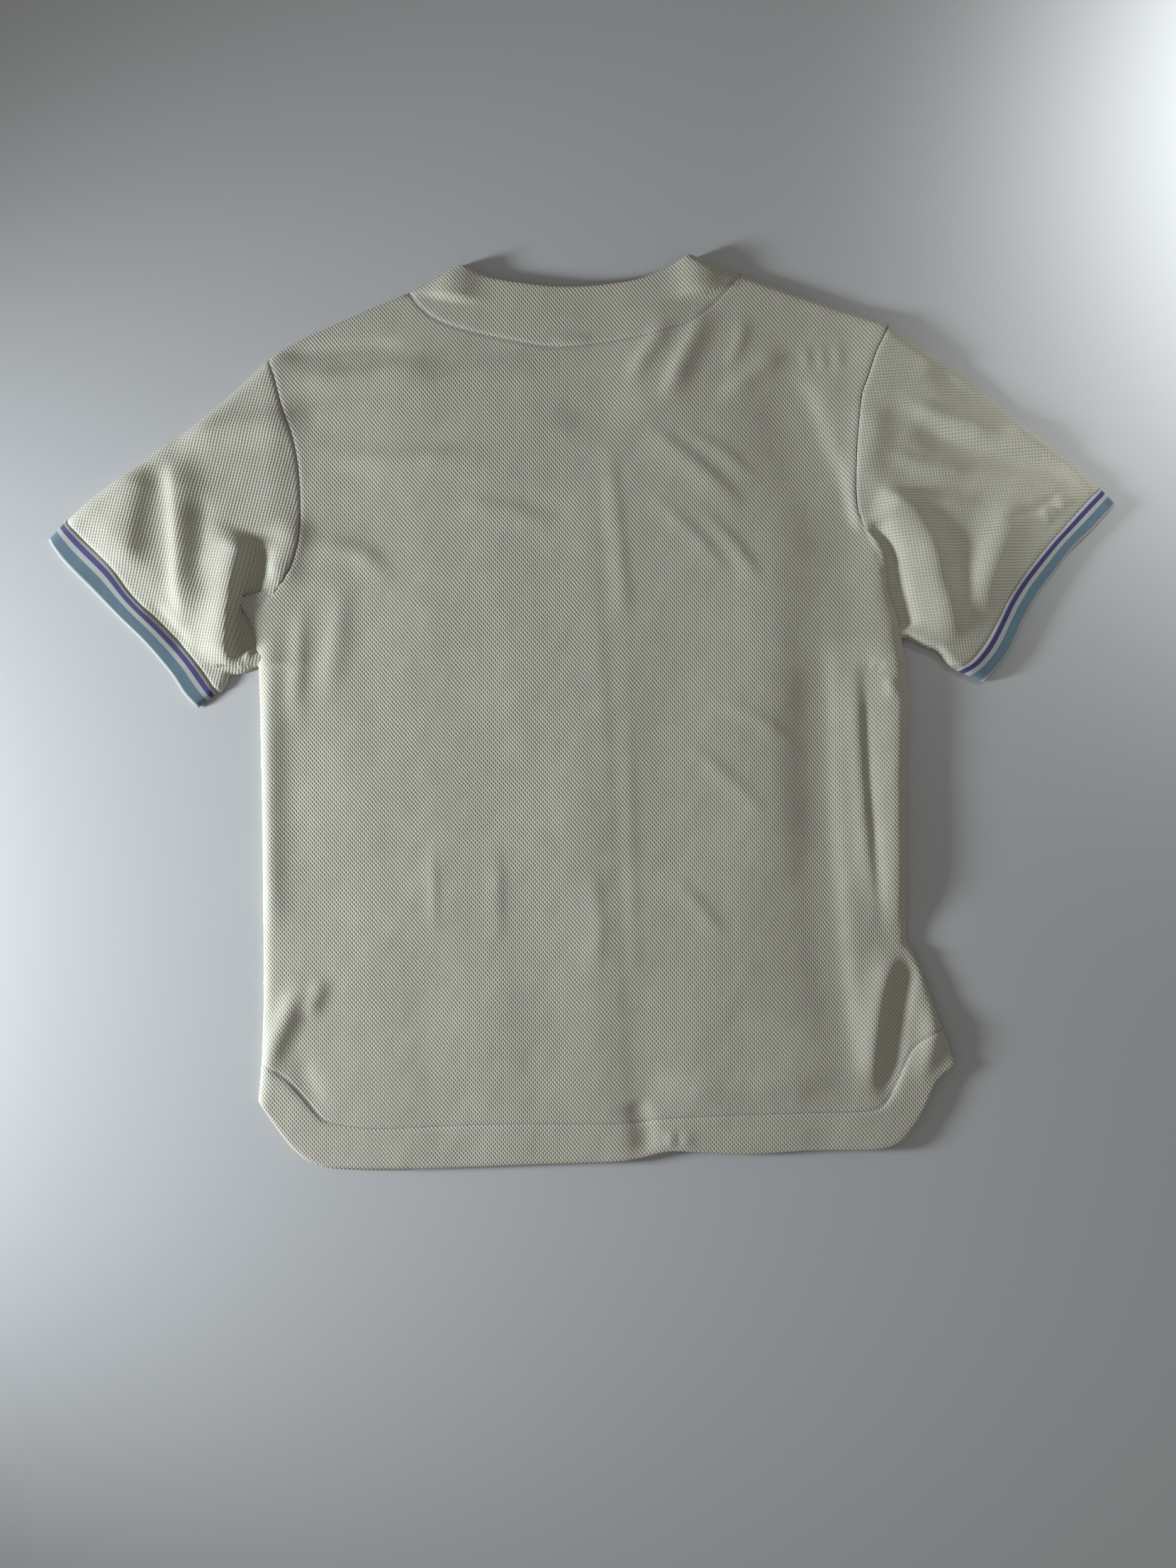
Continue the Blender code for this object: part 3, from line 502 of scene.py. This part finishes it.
def mixColour(tree, share, first, second):
    node = tree.nodes.new("ShaderNodeMix")
    node.data_type = "RGBA"
    node.blend_type = "MIX"
    if isinstance(share, (int, float)):
        node.inputs["Factor"].default_value = share
    else:
        tree.links.new(share, node.inputs["Factor"])
    for label, value in (("A", first), ("B", second)):
        socket = [s for s in node.inputs if s.name == label and s.type == "RGBA"][0]
        if isinstance(value, tuple):
            socket.default_value = (*value, 1)
        else:
            tree.links.new(value, socket)
    return [s for s in node.outputs if s.type == "RGBA"][0]


def seamGrooveShade(tree, look):
    # painted shade along a seam's groove: a thin dark line, broken by the stitches where it is
    # topstitched
    split = tree.nodes.new("ShaderNodeSeparateXYZ")
    tree.links.new(placeNode(tree, "seamPlace"), split.inputs[0])
    away, along, kind = split.outputs
    away = calc(tree, "ABSOLUTE", away)
    line = calc(tree, "SUBTRACT", 1.0, smoothMask(tree, away, look["seamWidth"] * 0.4,
                                                 look["seamWidth"] * 1.5))
    beat = calc(tree, "SINE", calc(tree, "MULTIPLY", along, 2 * math.pi / look["stitchPitch"]))
    beat = calc(tree, "MULTIPLY_ADD", smoothMask(tree, beat, -0.5, 0.6), 0.55, 0.25)
    topstitched = calc(tree, "LESS_THAN", kind, 1.5)
    share = calc(tree, "ADD", calc(tree, "MULTIPLY", beat, topstitched),
                 calc(tree, "MULTIPLY", calc(tree, "SUBTRACT", 1.0, topstitched), 0.75))
    there = calc(tree, "GREATER_THAN", kind, 0.5)
    return calc(tree, "MULTIPLY", calc(tree, "MULTIPLY", line, share), there)


def placeNode(tree, attributeName="clothPlace"):
    node = tree.nodes.new("ShaderNodeAttribute")
    node.attribute_name = attributeName
    scaled = tree.nodes.new("ShaderNodeVectorMath")
    scaled.operation = "SCALE"
    scaled.inputs["Scale"].default_value = 1000.0
    tree.links.new(node.outputs["Vector"], scaled.inputs[0])
    return scaled.outputs[0]


def startMaterial(name, roughness):
    material = bpy.data.materials.new(name)
    material.use_nodes = True
    shader = material.node_tree.nodes["Principled BSDF"]
    shader.inputs["Roughness"].default_value = roughness
    shader.inputs["Specular IOR Level"].default_value = 0.3
    return material, material.node_tree, shader


meshKnitLook = {
    "thread": (0.66, 0.63, 0.525),
    "shadeThread": (0.61, 0.58, 0.475),
    # painted shade: the knit's holes are coloured dark for the shade seen down into them, and the hole
    # strength below sets how dark
    "holeShadeColour": (0.30, 0.28, 0.22),
    "holePitch": 3.4,
    "rowPitch": 3.9,
    "holeSize": 0.30,
    "holeShadeStrength": 0.6,
    "slant": 0.3,
    "bump": 1.0,
    "bumpDepth": 0.00035,
    # painted shade in the seams' grooves: the colour of the dark seam lines
    "seamGrooveShadeColour": (0.16, 0.15, 0.12),
    "seamWidth": 0.5,     # millimetres either side of the line
    "stitchPitch": 2.4,
}


def meshKnitMaterial():
    look = meshKnitLook
    material, tree, shader = startMaterial("creamMeshKnit", 0.82)
    place = placeNode(tree)
    knit = tree.nodes.new("ShaderNodeGroup")
    knit.node_tree = knitGroup
    tree.links.new(place, knit.inputs["Place"])
    knit.inputs["Hole Pitch"].default_value = look["holePitch"]
    knit.inputs["Row Pitch"].default_value = look["rowPitch"]
    knit.inputs["Hole Size"].default_value = look["holeSize"]
    knit.inputs["Unevenness"].default_value = 0.6
    knit.inputs["Slant"].default_value = look["slant"]
    yarn = mixColour(tree, noiseNode(tree, place, 0.012, 4.0), look["thread"], look["shadeThread"])
    # painted shade: each hole of the knit is darkened towards the hole colour, standing in for the shade
    # inside it
    holeShade = calc(tree, "MULTIPLY", knit.outputs["Hole"], look["holeShadeStrength"])
    colour = mixColour(tree, holeShade, yarn, look["holeShadeColour"])
    # painted shade along the seam grooves, mixed into the knit's colour
    colour = mixColour(tree, seamGrooveShade(tree, look), colour, look["seamGrooveShadeColour"])
    tree.links.new(colour, shader.inputs["Base Color"])
    bump = tree.nodes.new("ShaderNodeBump")
    bump.inputs["Strength"].default_value = look["bump"]
    bump.inputs["Distance"].default_value = look["bumpDepth"]
    tree.links.new(knit.outputs["Height"], bump.inputs["Height"])
    tree.links.new(bump.outputs["Normal"], shader.inputs["Normal"])
    shader.inputs["Sheen Weight"].default_value = 0.12
    shader.inputs["Sheen Roughness"].default_value = 0.5
    return material


cuffLook = {
    "white": (0.62, 0.63, 0.60),
    "violet": (0.085, 0.07, 0.24),
    "greyBlue": (0.17, 0.27, 0.33),
    # where each stripe ends, as a share of the band from the sleeve seam to the edge
    "ends": (0.13, 0.33, 0.51, 0.90, 1.0),
    "blur": 0.012,
    "ribPitch": 1.05,
}


def cuffMaterial():
    look = cuffLook
    material, tree, shader = startMaterial("stripedRib", 0.85)
    place = placeNode(tree)
    split = tree.nodes.new("ShaderNodeSeparateXYZ")
    tree.links.new(place, split.inputs[0])
    depth = calc(tree, "MULTIPLY", split.outputs[2], 0.001)
    fray = calc(tree, "MULTIPLY", calc(tree, "SUBTRACT", noiseNode(tree, place, 1.4), 0.5), 0.03)
    depth = calc(tree, "ADD", depth, fray)
    colours = ("violet", "white", "greyBlue", "white")
    colour = look["white"]
    for end, name in zip(look["ends"], colours):
        colour = mixColour(tree, smoothMask(tree, depth, end - look["blur"], end + look["blur"]), colour,
                           look[name])
    ribs = calc(tree, "SINE", calc(tree, "MULTIPLY", split.outputs[0], 2 * math.pi / look["ribPitch"]))
    # painted shade that follows the ribs (the sine, in step with the rib relief) plus a fine random
    # mottle from noise, both darkening the stripes
    ribShadeAndMottle = calc(tree, "MULTIPLY_ADD", ribs, 0.07, noiseNode(tree, place, 0.9))
    ribShadeAndMottle = calc(tree, "MULTIPLY", ribShadeAndMottle, 0.34)
    colour = mixColour(tree, ribShadeAndMottle, colour, (0.05, 0.05, 0.07))
    tree.links.new(colour, shader.inputs["Base Color"])
    bump = tree.nodes.new("ShaderNodeBump")
    bump.inputs["Strength"].default_value = 0.6
    bump.inputs["Distance"].default_value = 0.0003
    loops = calc(tree, "SINE", calc(tree, "MULTIPLY", split.outputs[2], 0.02 * 2 * math.pi))
    height = calc(tree, "ADD", ribs, calc(tree, "MULTIPLY", loops, 0.3))
    tree.links.new(height, bump.inputs["Height"])
    tree.links.new(bump.outputs["Normal"], shader.inputs["Normal"])
    shader.inputs["Sheen Weight"].default_value = 0.2
    return material


def threadMaterial():
    material, tree, shader = startMaterial("creamThread", 0.6)
    coords = tree.nodes.new("ShaderNodeTexCoord")
    mix = mixColour(tree, noiseNode(tree, coords.outputs["Object"], 900.0), (0.60, 0.58, 0.50),
                    (0.50, 0.48, 0.40))
    tree.links.new(mix, shader.inputs["Base Color"])
    return material


def floorMaterial():
    material, tree, shader = startMaterial("paleFloor", 0.7)
    coords = tree.nodes.new("ShaderNodeTexCoord")
    mix = mixColour(tree, noiseNode(tree, coords.outputs["Object"], 3.0, 5.0), (0.60, 0.60, 0.60),
                    (0.585, 0.585, 0.587))
    tree.links.new(mix, shader.inputs["Base Color"])
    return material


meshKnit = meshKnitMaterial()
stripedRib = cuffMaterial()
thread = threadMaterial()
print("materials made")

# Meshes

stitched, sewn = 1, 2  # kinds of seam
tableMiddle = (0.25, 0.0)  # middle of the tables' box, where the frame has its origin


def seamPlaces(points, lines):
    # for each point: signed distance to the nearest seam, place along it, and the seam's kind
    nearest = np.full(len(points), 1000.0)
    result = np.zeros((len(points), 3))
    result[:, 0] = 1000.0
    for line, kind in lines:
        distance, share, side = nearestOn(line, points[:, :2])
        length = np.linalg.norm(np.diff(line, axis=0), axis=1).sum()
        nearer = distance < nearest
        nearest = np.where(nearer, distance, nearest)
        found = np.column_stack([distance * side, share * length, np.full(len(points), kind)])
        result = np.where(nearer[:, None], found, result)
    return result


def makeObject(name, points, faces, places, material, thickness=None, seams=None):
    # points and places are in millimetres
    moved = points - np.array([tableMiddle[0], tableMiddle[1], 0])
    data = bpy.data.meshes.new(name)
    data.from_pydata((moved * mm).tolist(), [], faces)
    attribute = data.attributes.new("clothPlace", "FLOAT_VECTOR", "POINT")
    attribute.data.foreach_set("vector", (places * mm).astype(np.float32).ravel())
    if seams:
        attribute = data.attributes.new("seamPlace", "FLOAT_VECTOR", "POINT")
        found = (seamPlaces(points, seams) * mm).astype(np.float32)
        attribute.data.foreach_set("vector", found.ravel())
    data.materials.append(material)
    data.shade_smooth()
    obj = bpy.data.objects.new(name, data)
    bpy.context.scene.collection.objects.link(obj)
    if thickness:
        solid = obj.modifiers.new("clothThickness", "SOLIDIFY")
        solid.thickness = thickness * mm
        solid.offset = -1
        solid.use_even_offset = False
    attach(obj, "root")
    return obj


def gridFaces(rows, columns, start=0, closed=False):
    faces = []
    last = columns if closed else columns - 1
    for j in range(rows - 1):
        for i in range(last):
            k = (i + 1) % columns
            a, b = start + j * columns + i, start + j * columns + k
            faces.append((a, b, b + columns, a + columns))
    return faces


def joinGrids(grids):
    # grids of points that share edge rows become one mesh, with its doubled points merged
    points = np.vstack([g.reshape(-1, 3) for g in grids])
    faces, start = [], 0
    for g in grids:
        faces += gridFaces(g.shape[0], g.shape[1], start)
        start += g.shape[0] * g.shape[1]
    keys = np.round(points[:, :2] * 50).astype(np.int64)
    _, first, inverse = np.unique(keys, axis=0, return_index=True, return_inverse=True)
    order = np.argsort(np.argsort(first))
    index = order[inverse.ravel()]
    kept = points[np.sort(first)]
    joined = []
    for face in faces:
        corners = []
        for vertex in face:
            if index[vertex] not in corners:
                corners.append(int(index[vertex]))
        if len(corners) > 2:
            joined.append(tuple(corners))
    return kept, joined


def crowded(count, near, length):
    # even shares with extra ones at the given distances from both ends
    shares = [0.0] + [d / length for d in near]
    inner = np.linspace(shares[-1], 1 - shares[-1], count - 2 * len(near) + 1)
    return np.concatenate([shares[:-1], inner, [1 - s for s in reversed(shares[:-1])]])


def levelEdge(lines, levels):
    # the side outline's points at given levels
    line = np.vstack(lines)
    return np.column_stack([np.interp(levels, line[:, 1], line[:, 0]), levels])


# Where the meshes have extra rows: distances from an edge, levels, and shares of a band
meshTable = {
    "bodyEdge": (0.5, 1.4, 2.8, 4.8, 7.4),
    "sleeveEdge": (0.5, 1.4, 2.8, 4.8, 7.6),
    "bodyEnds": (0.0025, 0.006, 0.9915, 0.9955, 0.9985),
    "tuckLevels": (89, 93, 97, 98.5, 100, 102, 103.4, 105, 106.5),
    "hemBand": (0, 0.015, 0.04, 0.08, 0.15, 0.25, 0.36, 0.48, 0.6, 0.72, 0.83, 0.91, 0.955, 0.98, 1.0),
}


def buildBody():
    near = meshTable["bodyEdge"]
    leftCount, middleCount, rightCount = topTable["columns"]
    leftShares = crowded(2 * leftCount, near, 260)[:leftCount + 1] * 2
    rightShares = 1 - (crowded(2 * rightCount, near, 260)[:rightCount + 1] * 2)[::-1]
    leftTop = smoothLine(topTable["leftShoulder"], np.clip(leftShares, 0, 1))
    middleTop = smoothLine(topTable["facing"], np.linspace(0, 1, middleCount + 1))
    rightTop = smoothLine(topTable["rightShoulder"], np.clip(rightShares, 0, 1))
    top = np.vstack([leftTop, middleTop[1:], rightTop[1:]])
    u = lengthShares(top)
    stitch = smoothLine(hemTable["stitch"], u)
    hem = smoothLine(hemTable["edge"], u)

    leftLines = (leftSide, np.array(sideTable["leftTuck"], dtype=float),
                 smoothLine(sideTable["leftSeam"], 90))
    rightLines = (rightSide, smoothLine(sideTable["rightTuck"], 20),
                  smoothLine(sideTable["rightSeam"], 90))
    v = np.linspace(0, 1, sideTable["rows"])
    v = np.concatenate([v, meshTable["bodyEnds"]])
    low, high = stitch[0][1], top[0][1]
    for level in meshTable["tuckLevels"]:
        v = np.append(v, (level - low) / (high - low))
    low, high = stitch[-1][1], top[-1][1]
    v = np.append(v, (sideTable["rightUpper"][0][1] - low) / (high - low))
    v = np.unique(np.round(v, 5))
    left = levelEdge(leftLines, stitch[0][1] + v * (top[0][1] - stitch[0][1]))
    right = levelEdge(rightLines, stitch[-1][1] + v * (top[-1][1] - stitch[-1][1]))
    left[0], right[0], left[-1], right[-1] = stitch[0], stitch[-1], top[0], top[-1]
    main = fillPatch(stitch, top, left, right, u, v)

    bandShares = np.array(meshTable["hemBand"])
    bandLeft = hem[0] + (stitch[0] - hem[0]) * bandShares[:, None]
    bandRight = hem[-1] + (stitch[-1] - hem[-1]) * bandShares[:, None]
    band = fillPatch(hem, stitch, bandLeft, bandRight, u, bandShares)

    neckShares = crowded(topTable["bandRows"], (0.7, 1.8, 3.6), 50)
    uNeck = np.linspace(0, 1, middleCount + 1)
    neckLeft = smoothLine(topTable["leftNeckSide"], neckShares)
    neckRight = smoothLine(topTable["rightNeckSide"], neckShares)
    neck = smoothLine(topTable["neck"], uNeck)
    facing = fillPatch(middleTop, neck, neckLeft, neckRight, uNeck, neckShares)

    hemLine = smoothLine(hemTable["stitch"], 220)
    facingLine = smoothLine(topTable["facing"], 160)
    seams = [smoothLine(sideTable["leftSeam"], 60), smoothLine(sideTable["rightSeam"], 60)]
    # the body slips below the sleeve at both underarms
    leftSlip = smoothLine(((-276, 89), (-268, 100), (-262, 106), (-254, 114)), 16)
    rightSlip = smoothLine(((258.5, 118), (254, 134), (247, 147), (239, 162)), 16)
    grids = []
    for k, plan in enumerate((band, main, facing)):
        height = clothHeight(plan, "body")
        if k == 0:
            distance, _, _ = nearestOn(hemLine, plan)
            height = height + 0.5 * softStep(distance, 4)
        if k == 2:
            distance, _, _ = nearestOn(facingLine, plan)
            height = height + 0.25 * softStep(distance, 4)
        for line in (hemLine, facingLine):
            height = height - dipAlong(plan, line, clothTable["stitchDip"], clothTable["stitchWide"])
        for seam in seams:
            height = height - dipAlong(plan, seam, clothTable["seamDip"], clothTable["seamWide"])
        height = height - dipAlong(plan, leftSlip, 0.8, 1.4) - dipAlong(plan, rightSlip, 0.8, 1.2)
        grids.append(np.dstack([plan, height]))
    points, faces = joinGrids(grids)
    places = points.copy()
    lines = [(hemLine, stitched), (facingLine, stitched)] + [(seam, sewn) for seam in seams]
    back = makeObject("backPanel", points, faces, places, meshKnit,
                      clothTable["thickness"], lines)
    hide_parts("back")
    print("back made", len(points))
    return back


def sleevePlans(name):
    cut = sleeveTable[name]
    near = meshTable["sleeveEdge"]
    around = crowded(sleeveTable["columns"], near, 260)
    along = np.concatenate([[0.0, 0.006], np.linspace(0.016, 0.984, sleeveTable["rows"]), [0.994, 1.0]])
    start = smoothLine(cut["start"], around)
    seam = smoothLine(cut["cuffSeam"], around)
    upper = smoothLine(cut["upper"], along)
    lower = smoothLine(cut["lower"], along)
    return fillPatch(start, seam, upper, lower, around, along), around


def grainPlaces(points, degrees):
    # places in the cloth's own directions, turned with the sleeve
    angle = math.radians(degrees + 90)
    c, s = math.cos(angle), math.sin(angle)
    turned = points.copy()
    turned[:, 0] = c * points[:, 0] + s * points[:, 1]
    turned[:, 1] = -s * points[:, 0] + c * points[:, 1]
    return turned


def tubeGrid(plan, height, floor):
    # an upper and a lower layer that share their two folded edges
    upper = np.dstack([plan, height])
    lower = np.dstack([plan, np.full(plan.shape[:2], floor)])[:, ::-1]
    return np.concatenate([upper, lower[:, 1:-1]], axis=1)


def buildSleeve(name):
    cut = sleeveTable[name]
    plan, around = sleevePlans(name)
    height = clothHeight(plan, "sleeve")
    seam = smoothLine(cut["start"][:10], 60)
    distance, _, _ = nearestOn(seam, plan)
    dip = np.exp(-(distance / clothTable["seamWide"]) ** 2)
    height = height - clothTable["seamDip"] * dip
    height[0] -= 0.5
    height = height - dipAlong(plan, smoothLine(cut["cuffSeam"], 60), 0.8, 1.6)
    tube = tubeGrid(plan, height, clothTable["lowerFace"])
    rows, columns = tube.shape[:2]
    points = tube.reshape(-1, 3)
    faces = gridFaces(rows, columns, closed=True)
    if name == "left":
        faces = [f[::-1] for f in faces]
    places = grainPlaces(points, cut["grain"])
    lines = [(seam, sewn), (smoothLine(cut["cuffSeam"], 60), sewn)]
    sleeve = makeObject("sleeve" + name.title(), points, faces, places, meshKnit,
                        clothTable["thickness"], lines)
    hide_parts("sleeve_" + name)
    print("sleeve made", name, len(points))
    return sleeve


def buildCuff(name):
    cut = sleeveTable[name]
    _, around = sleevePlans(name)
    seam = smoothLine(cut["cuffSeam"], around)
    edge = smoothLine(cut["cuffEdge"], around)
    steps = np.concatenate([[0.0, 0.02, 0.05], np.linspace(0.1, 0.9, sleeveTable["cuffRows"]),
                            [0.95, 0.98, 1.0]])
    plan = seam[None] + (edge - seam)[None] * steps[:, None, None]
    height = clothHeight(plan, "sleeve") + 0.5
    height = height - np.exp(-(steps[:, None] * sleeveTable["cuffDepth"] / 1.2) ** 2)
    height = height - 0.9 * softStep(steps[:, None] - 0.93, 0.07) ** 2
    tube = tubeGrid(plan, height, clothTable["cuffLowerFace"])
    rows, columns = tube.shape[:2]
    points = tube.reshape(-1, 3)
    faces = gridFaces(rows, columns, closed=True)
    if name == "left":
        faces = [f[::-1] for f in faces]
    length = around * sleeveTable["cuffLength"]
    lengths = np.concatenate([length, length[::-1][1:-1]])
    places = np.zeros((rows, columns, 3))
    places[:, :, 0] = lengths[None]
    places[:, :, 2] = steps[:, None] * 1000
    cuff = makeObject("cuff" + name.title(), points, faces, places.reshape(-1, 3), stripedRib,
                      1.2)
    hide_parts("cuff_" + name)
    print("cuff made", name, len(points))
    return cuff


# The fronts: the upper face, how far they stay in from the back's edge, the rise of the right one
# onto the left one, and the dip at the hem
frontTable = {"top": 1.15, "tuckIn": 1.2, "overlapLift": 1.2, "edgeDip": 0.5, "rows": 130}


def buildFront(name):
    # a front lies on the floor below the back, from the placket to the side seam
    t = frontTable
    away = -1 if name == "left" else 1
    side = leftSide if name == "left" else rightSide
    sideLine = np.vstack([side, smoothLine(sideTable[name + "Seam"], 90)])
    hem = smoothLine(hemTable["edge"], 400)
    if away < 0:
        drop = hemTable["lip"] * softStep(hem[:, 0] + 246, 14) * softStep(-120 - hem[:, 0], 40)
        hem = hem - np.column_stack([0 * drop, drop])
    hem = hem + np.column_stack([0 * hem[:, 0], t["tuckIn"] * softStep(hem[:, 0] + 150, 60)])
    rows = t["rows"]
    levels = np.linspace(0, 1, rows)
    startX = placketTable["hem"] - away * placketTable["halfOverlap"]
    footX, footY = placketEdge(placketTable["foot"][1], -away), placketTable["foot"][1]
    corner = topTable["neck"][0] if away < 0 else topTable["neck"][-1]
    hemY = float(np.interp(startX, hem[:, 0], hem[:, 1]))
    placket = np.column_stack([np.linspace(startX, footX, 70), np.linspace(hemY, footY, 70)])
    bow = (footX + (corner[0] - footX) * 0.62, footY + (corner[1] - footY) * 0.48)
    inner = np.vstack([placket, smoothLine(((footX, footY), bow, corner), 60)[1:]])
    at = lengthShares(inner)
    inner = np.column_stack([np.interp(levels, at, inner[:, k]) for k in (0, 1)])
    at = lengthShares(sideLine)
    outer = np.column_stack([np.interp(levels, at, sideLine[:, k]) for k in (0, 1)])
    outer[:, 0] -= away * t["tuckIn"]
    tip = hemTable["edge"][0] if away < 0 else hemTable["edge"][-1]
    beyond = hem[(hem[:, 0] - startX) * away > 1]
    beyond = beyond if away > 0 else beyond[::-1]
    bottom = np.vstack([[startX, hemY], beyond])
    outer = np.vstack([[tip[0] - away * t["tuckIn"], tip[1]], outer[1:]])
    across = crowded(60, (0.6, 1.6), 280)
    at = lengthShares(bottom)
    bottom = np.column_stack([np.interp(across, at, bottom[:, k]) for k in (0, 1)])
    shoulder = topTable[name + "Shoulder"]
    if name == "left":
        shoulder = shoulder[::-1]
    shoulder = topTable[name + "NeckSide"][::-1] + shoulder[1:]
    top = smoothLine(shoulder, across)
    bottom[-1], top[-1] = outer[0], outer[-1]
    plan = fillPatch(bottom, top, inner, outer, across, levels)
    height = np.full(plan.shape[:2], t["top"])
    if away > 0:
        fromEdge = plan[..., 0] - placketEdge(plan[..., 1], -1)
        height = height + t["overlapLift"] * (1 - softStep(fromEdge - 33, 6))
    distance, _, _ = nearestOn(hem[::8], plan)
    height = height - t["edgeDip"] * (1 - softStep(distance, 1.5))
    points = np.dstack([plan, height]).reshape(-1, 3)
    faces = gridFaces(rows, len(across))
    if away < 0:
        faces = [f[::-1] for f in faces]
    front = makeObject("frontPanel" + name.title(), points, faces, points.copy(), meshKnit,
                       clothTable["thickness"])
    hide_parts("front_" + name)
    print("front made", name, len(points))
    return front


def buildFacing():
    # the facing inside the back of the neck
    shares = np.linspace(0.07, 0.93, 60)
    neck = smoothLine(topTable["neck"], shares) - np.array([0, 1.6])
    lower = smoothLine(topTable["facing"], np.linspace(0.05, 0.95, 60))
    v = np.linspace(0, 1, 14)
    left = lower[0] + (neck[0] - lower[0]) * v[:, None]
    right = lower[-1] + (neck[-1] - lower[-1]) * v[:, None]
    plan = fillPatch(lower, neck, left, right, np.linspace(0, 1, 60), v)
    height = clothHeight(plan, "body") - 1.6
    points = np.dstack([plan, height]).reshape(-1, 3)
    facing = makeObject("neckFacing", points, gridFaces(14, 60), points.copy(), meshKnit,
                        0.6)
    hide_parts("back_neck_facing")
    return facing


back = buildBody()
for name in ("left", "right"):
    buildSleeve(name)
    buildCuff(name)
    buildFront(name)
buildFacing()

# Stitching

stitchTable = {"pitch": 2.4, "length": 1.5, "width": 0.34, "proud": 0.08}


def stitchRow(name, line, heightOf):
    t = stitchTable
    total = np.linalg.norm(np.diff(line, axis=0), axis=1).sum()
    count = int(total / t["pitch"])
    shares = (np.arange(count) + 0.5) / count
    at = lengthShares(line)
    middle = np.column_stack([np.interp(shares, at, line[:, k]) for k in (0, 1)])
    ahead = np.gradient(middle, axis=0)
    ahead /= np.linalg.norm(ahead, axis=1)[:, None]
    side = np.column_stack([-ahead[:, 1], ahead[:, 0]])
    points, faces = [], []
    sides = 6
    profile = ((-0.5, 0.35), (-0.3, 1.0), (0.3, 1.0), (0.5, 0.35))
    tops = heightOf(middle)
    for k in range(count):
        start = len(points)
        for share, wide in profile:
            centre = middle[k] + ahead[k] * t["length"] * share
            for n in range(sides):
                angle = 2 * math.pi * n / sides
                across = side[k] * math.cos(angle) * t["width"] * wide
                up = math.sin(angle) * t["width"] * wide * 0.8
                dip = -0.25 if abs(share) == 0.5 else 0
                points.append((*(centre + across), tops[k] + t["proud"] + up + dip))
        for ring in range(len(profile) - 1):
            for n in range(sides):
                a = start + ring * sides + n
                b = start + ring * sides + (n + 1) % sides
                faces.append((b, a, a + sides, b + sides))
        faces.append(tuple(start + n for n in range(sides)))
        faces.append(tuple(start + len(profile) * sides - 1 - n for n in range(sides)))
    points = np.array(points)
    makeObject(name, points, faces, points.copy(), thread)


def backTop(plan):
    tree = BVHTree.FromObject(back, bpy.context.evaluated_depsgraph_get())
    tops = []
    for x, y in plan:
        hit = tree.ray_cast(((x - tableMiddle[0]) * mm, (y - tableMiddle[1]) * mm, 0.2), (0, 0, -1))
        tops.append(hit[0].z / mm if hit[0] else 3.0)
    return np.array(tops)


stitchRow("hemStitching", smoothLine(hemTable["stitch"], 400)[4:-4], backTop)
stitchRow("facingStitching", smoothLine(topTable["facing"], 300)[4:-4], backTop)
print("stitching made")

# Floor, light and camera

floorTable = {"size": 8.0}
floorData = bpy.data.meshes.new("floor")
half = floorTable["size"] / 2
floorData.from_pydata([(-half, -half, 0), (half, -half, 0), (half, half, 0), (-half, half, 0)], [],
                      [(0, 1, 2, 3)])
floorData.materials.append(floorMaterial())
floor = bpy.data.objects.new("floor", floorData)
bpy.context.scene.collection.objects.link(floor)

lightTable = {
    # place and aim in metres, size in metres, strength in watts
    "leftWindow": {"place": (-1.50, -0.22, 0.38), "aim": (-0.10, -0.12, 0.0), "size": 0.14,
                   "watts": 145.0, "colour": (0.85, 0.93, 1.0), "cone": 74},
    "topRightWindow": {"place": (0.95, 0.95, 0.80), "aim": (0.76, 0.52, 0.0), "size": 0.16,
                       "watts": 95.0, "colour": (0.94, 0.99, 1.0), "cone": 50},
}


def aimed(start, end):
    return (Vector(end) - Vector(start)).to_track_quat("-Z", "Y").to_euler()


for name, given in lightTable.items():
    light = bpy.data.lights.new(name, "SPOT")
    light.energy = given["watts"]
    light.color = given["colour"]
    light.shadow_soft_size = given["size"]
    light.spot_size = math.radians(given["cone"])
    light.spot_blend = 1.0
    lamp = bpy.data.objects.new(name, light)
    lamp.location = given["place"]
    lamp.rotation_euler = aimed(given["place"], given["aim"])
    bpy.context.scene.collection.objects.link(lamp)

world = bpy.data.worlds.new("studio")
world.use_nodes = True
world.node_tree.nodes["Background"].inputs[0].default_value = (1.0, 1.0, 0.98, 1)
world.node_tree.nodes["Background"].inputs[1].default_value = 0.21
bpy.context.scene.world = world
bpy.context.scene.view_settings.view_transform = "Standard"

cameraTable = {"place": (0.0052, -0.061, 1.0134), "longSideAngle": 67.3}
cameraData = bpy.data.cameras.new("overheadCamera")
cameraData.sensor_width = 36.0
cameraData.lens = 18.0 / math.tan(math.radians(cameraTable["longSideAngle"] / 2))
camera = bpy.data.objects.new("overheadCamera", cameraData)
camera.location = cameraTable["place"]
camera.rotation_euler = (0, 0, 0)
bpy.context.scene.collection.objects.link(camera)
bpy.context.scene.camera = camera
print("stage made")

bpy.context.view_layer.update()
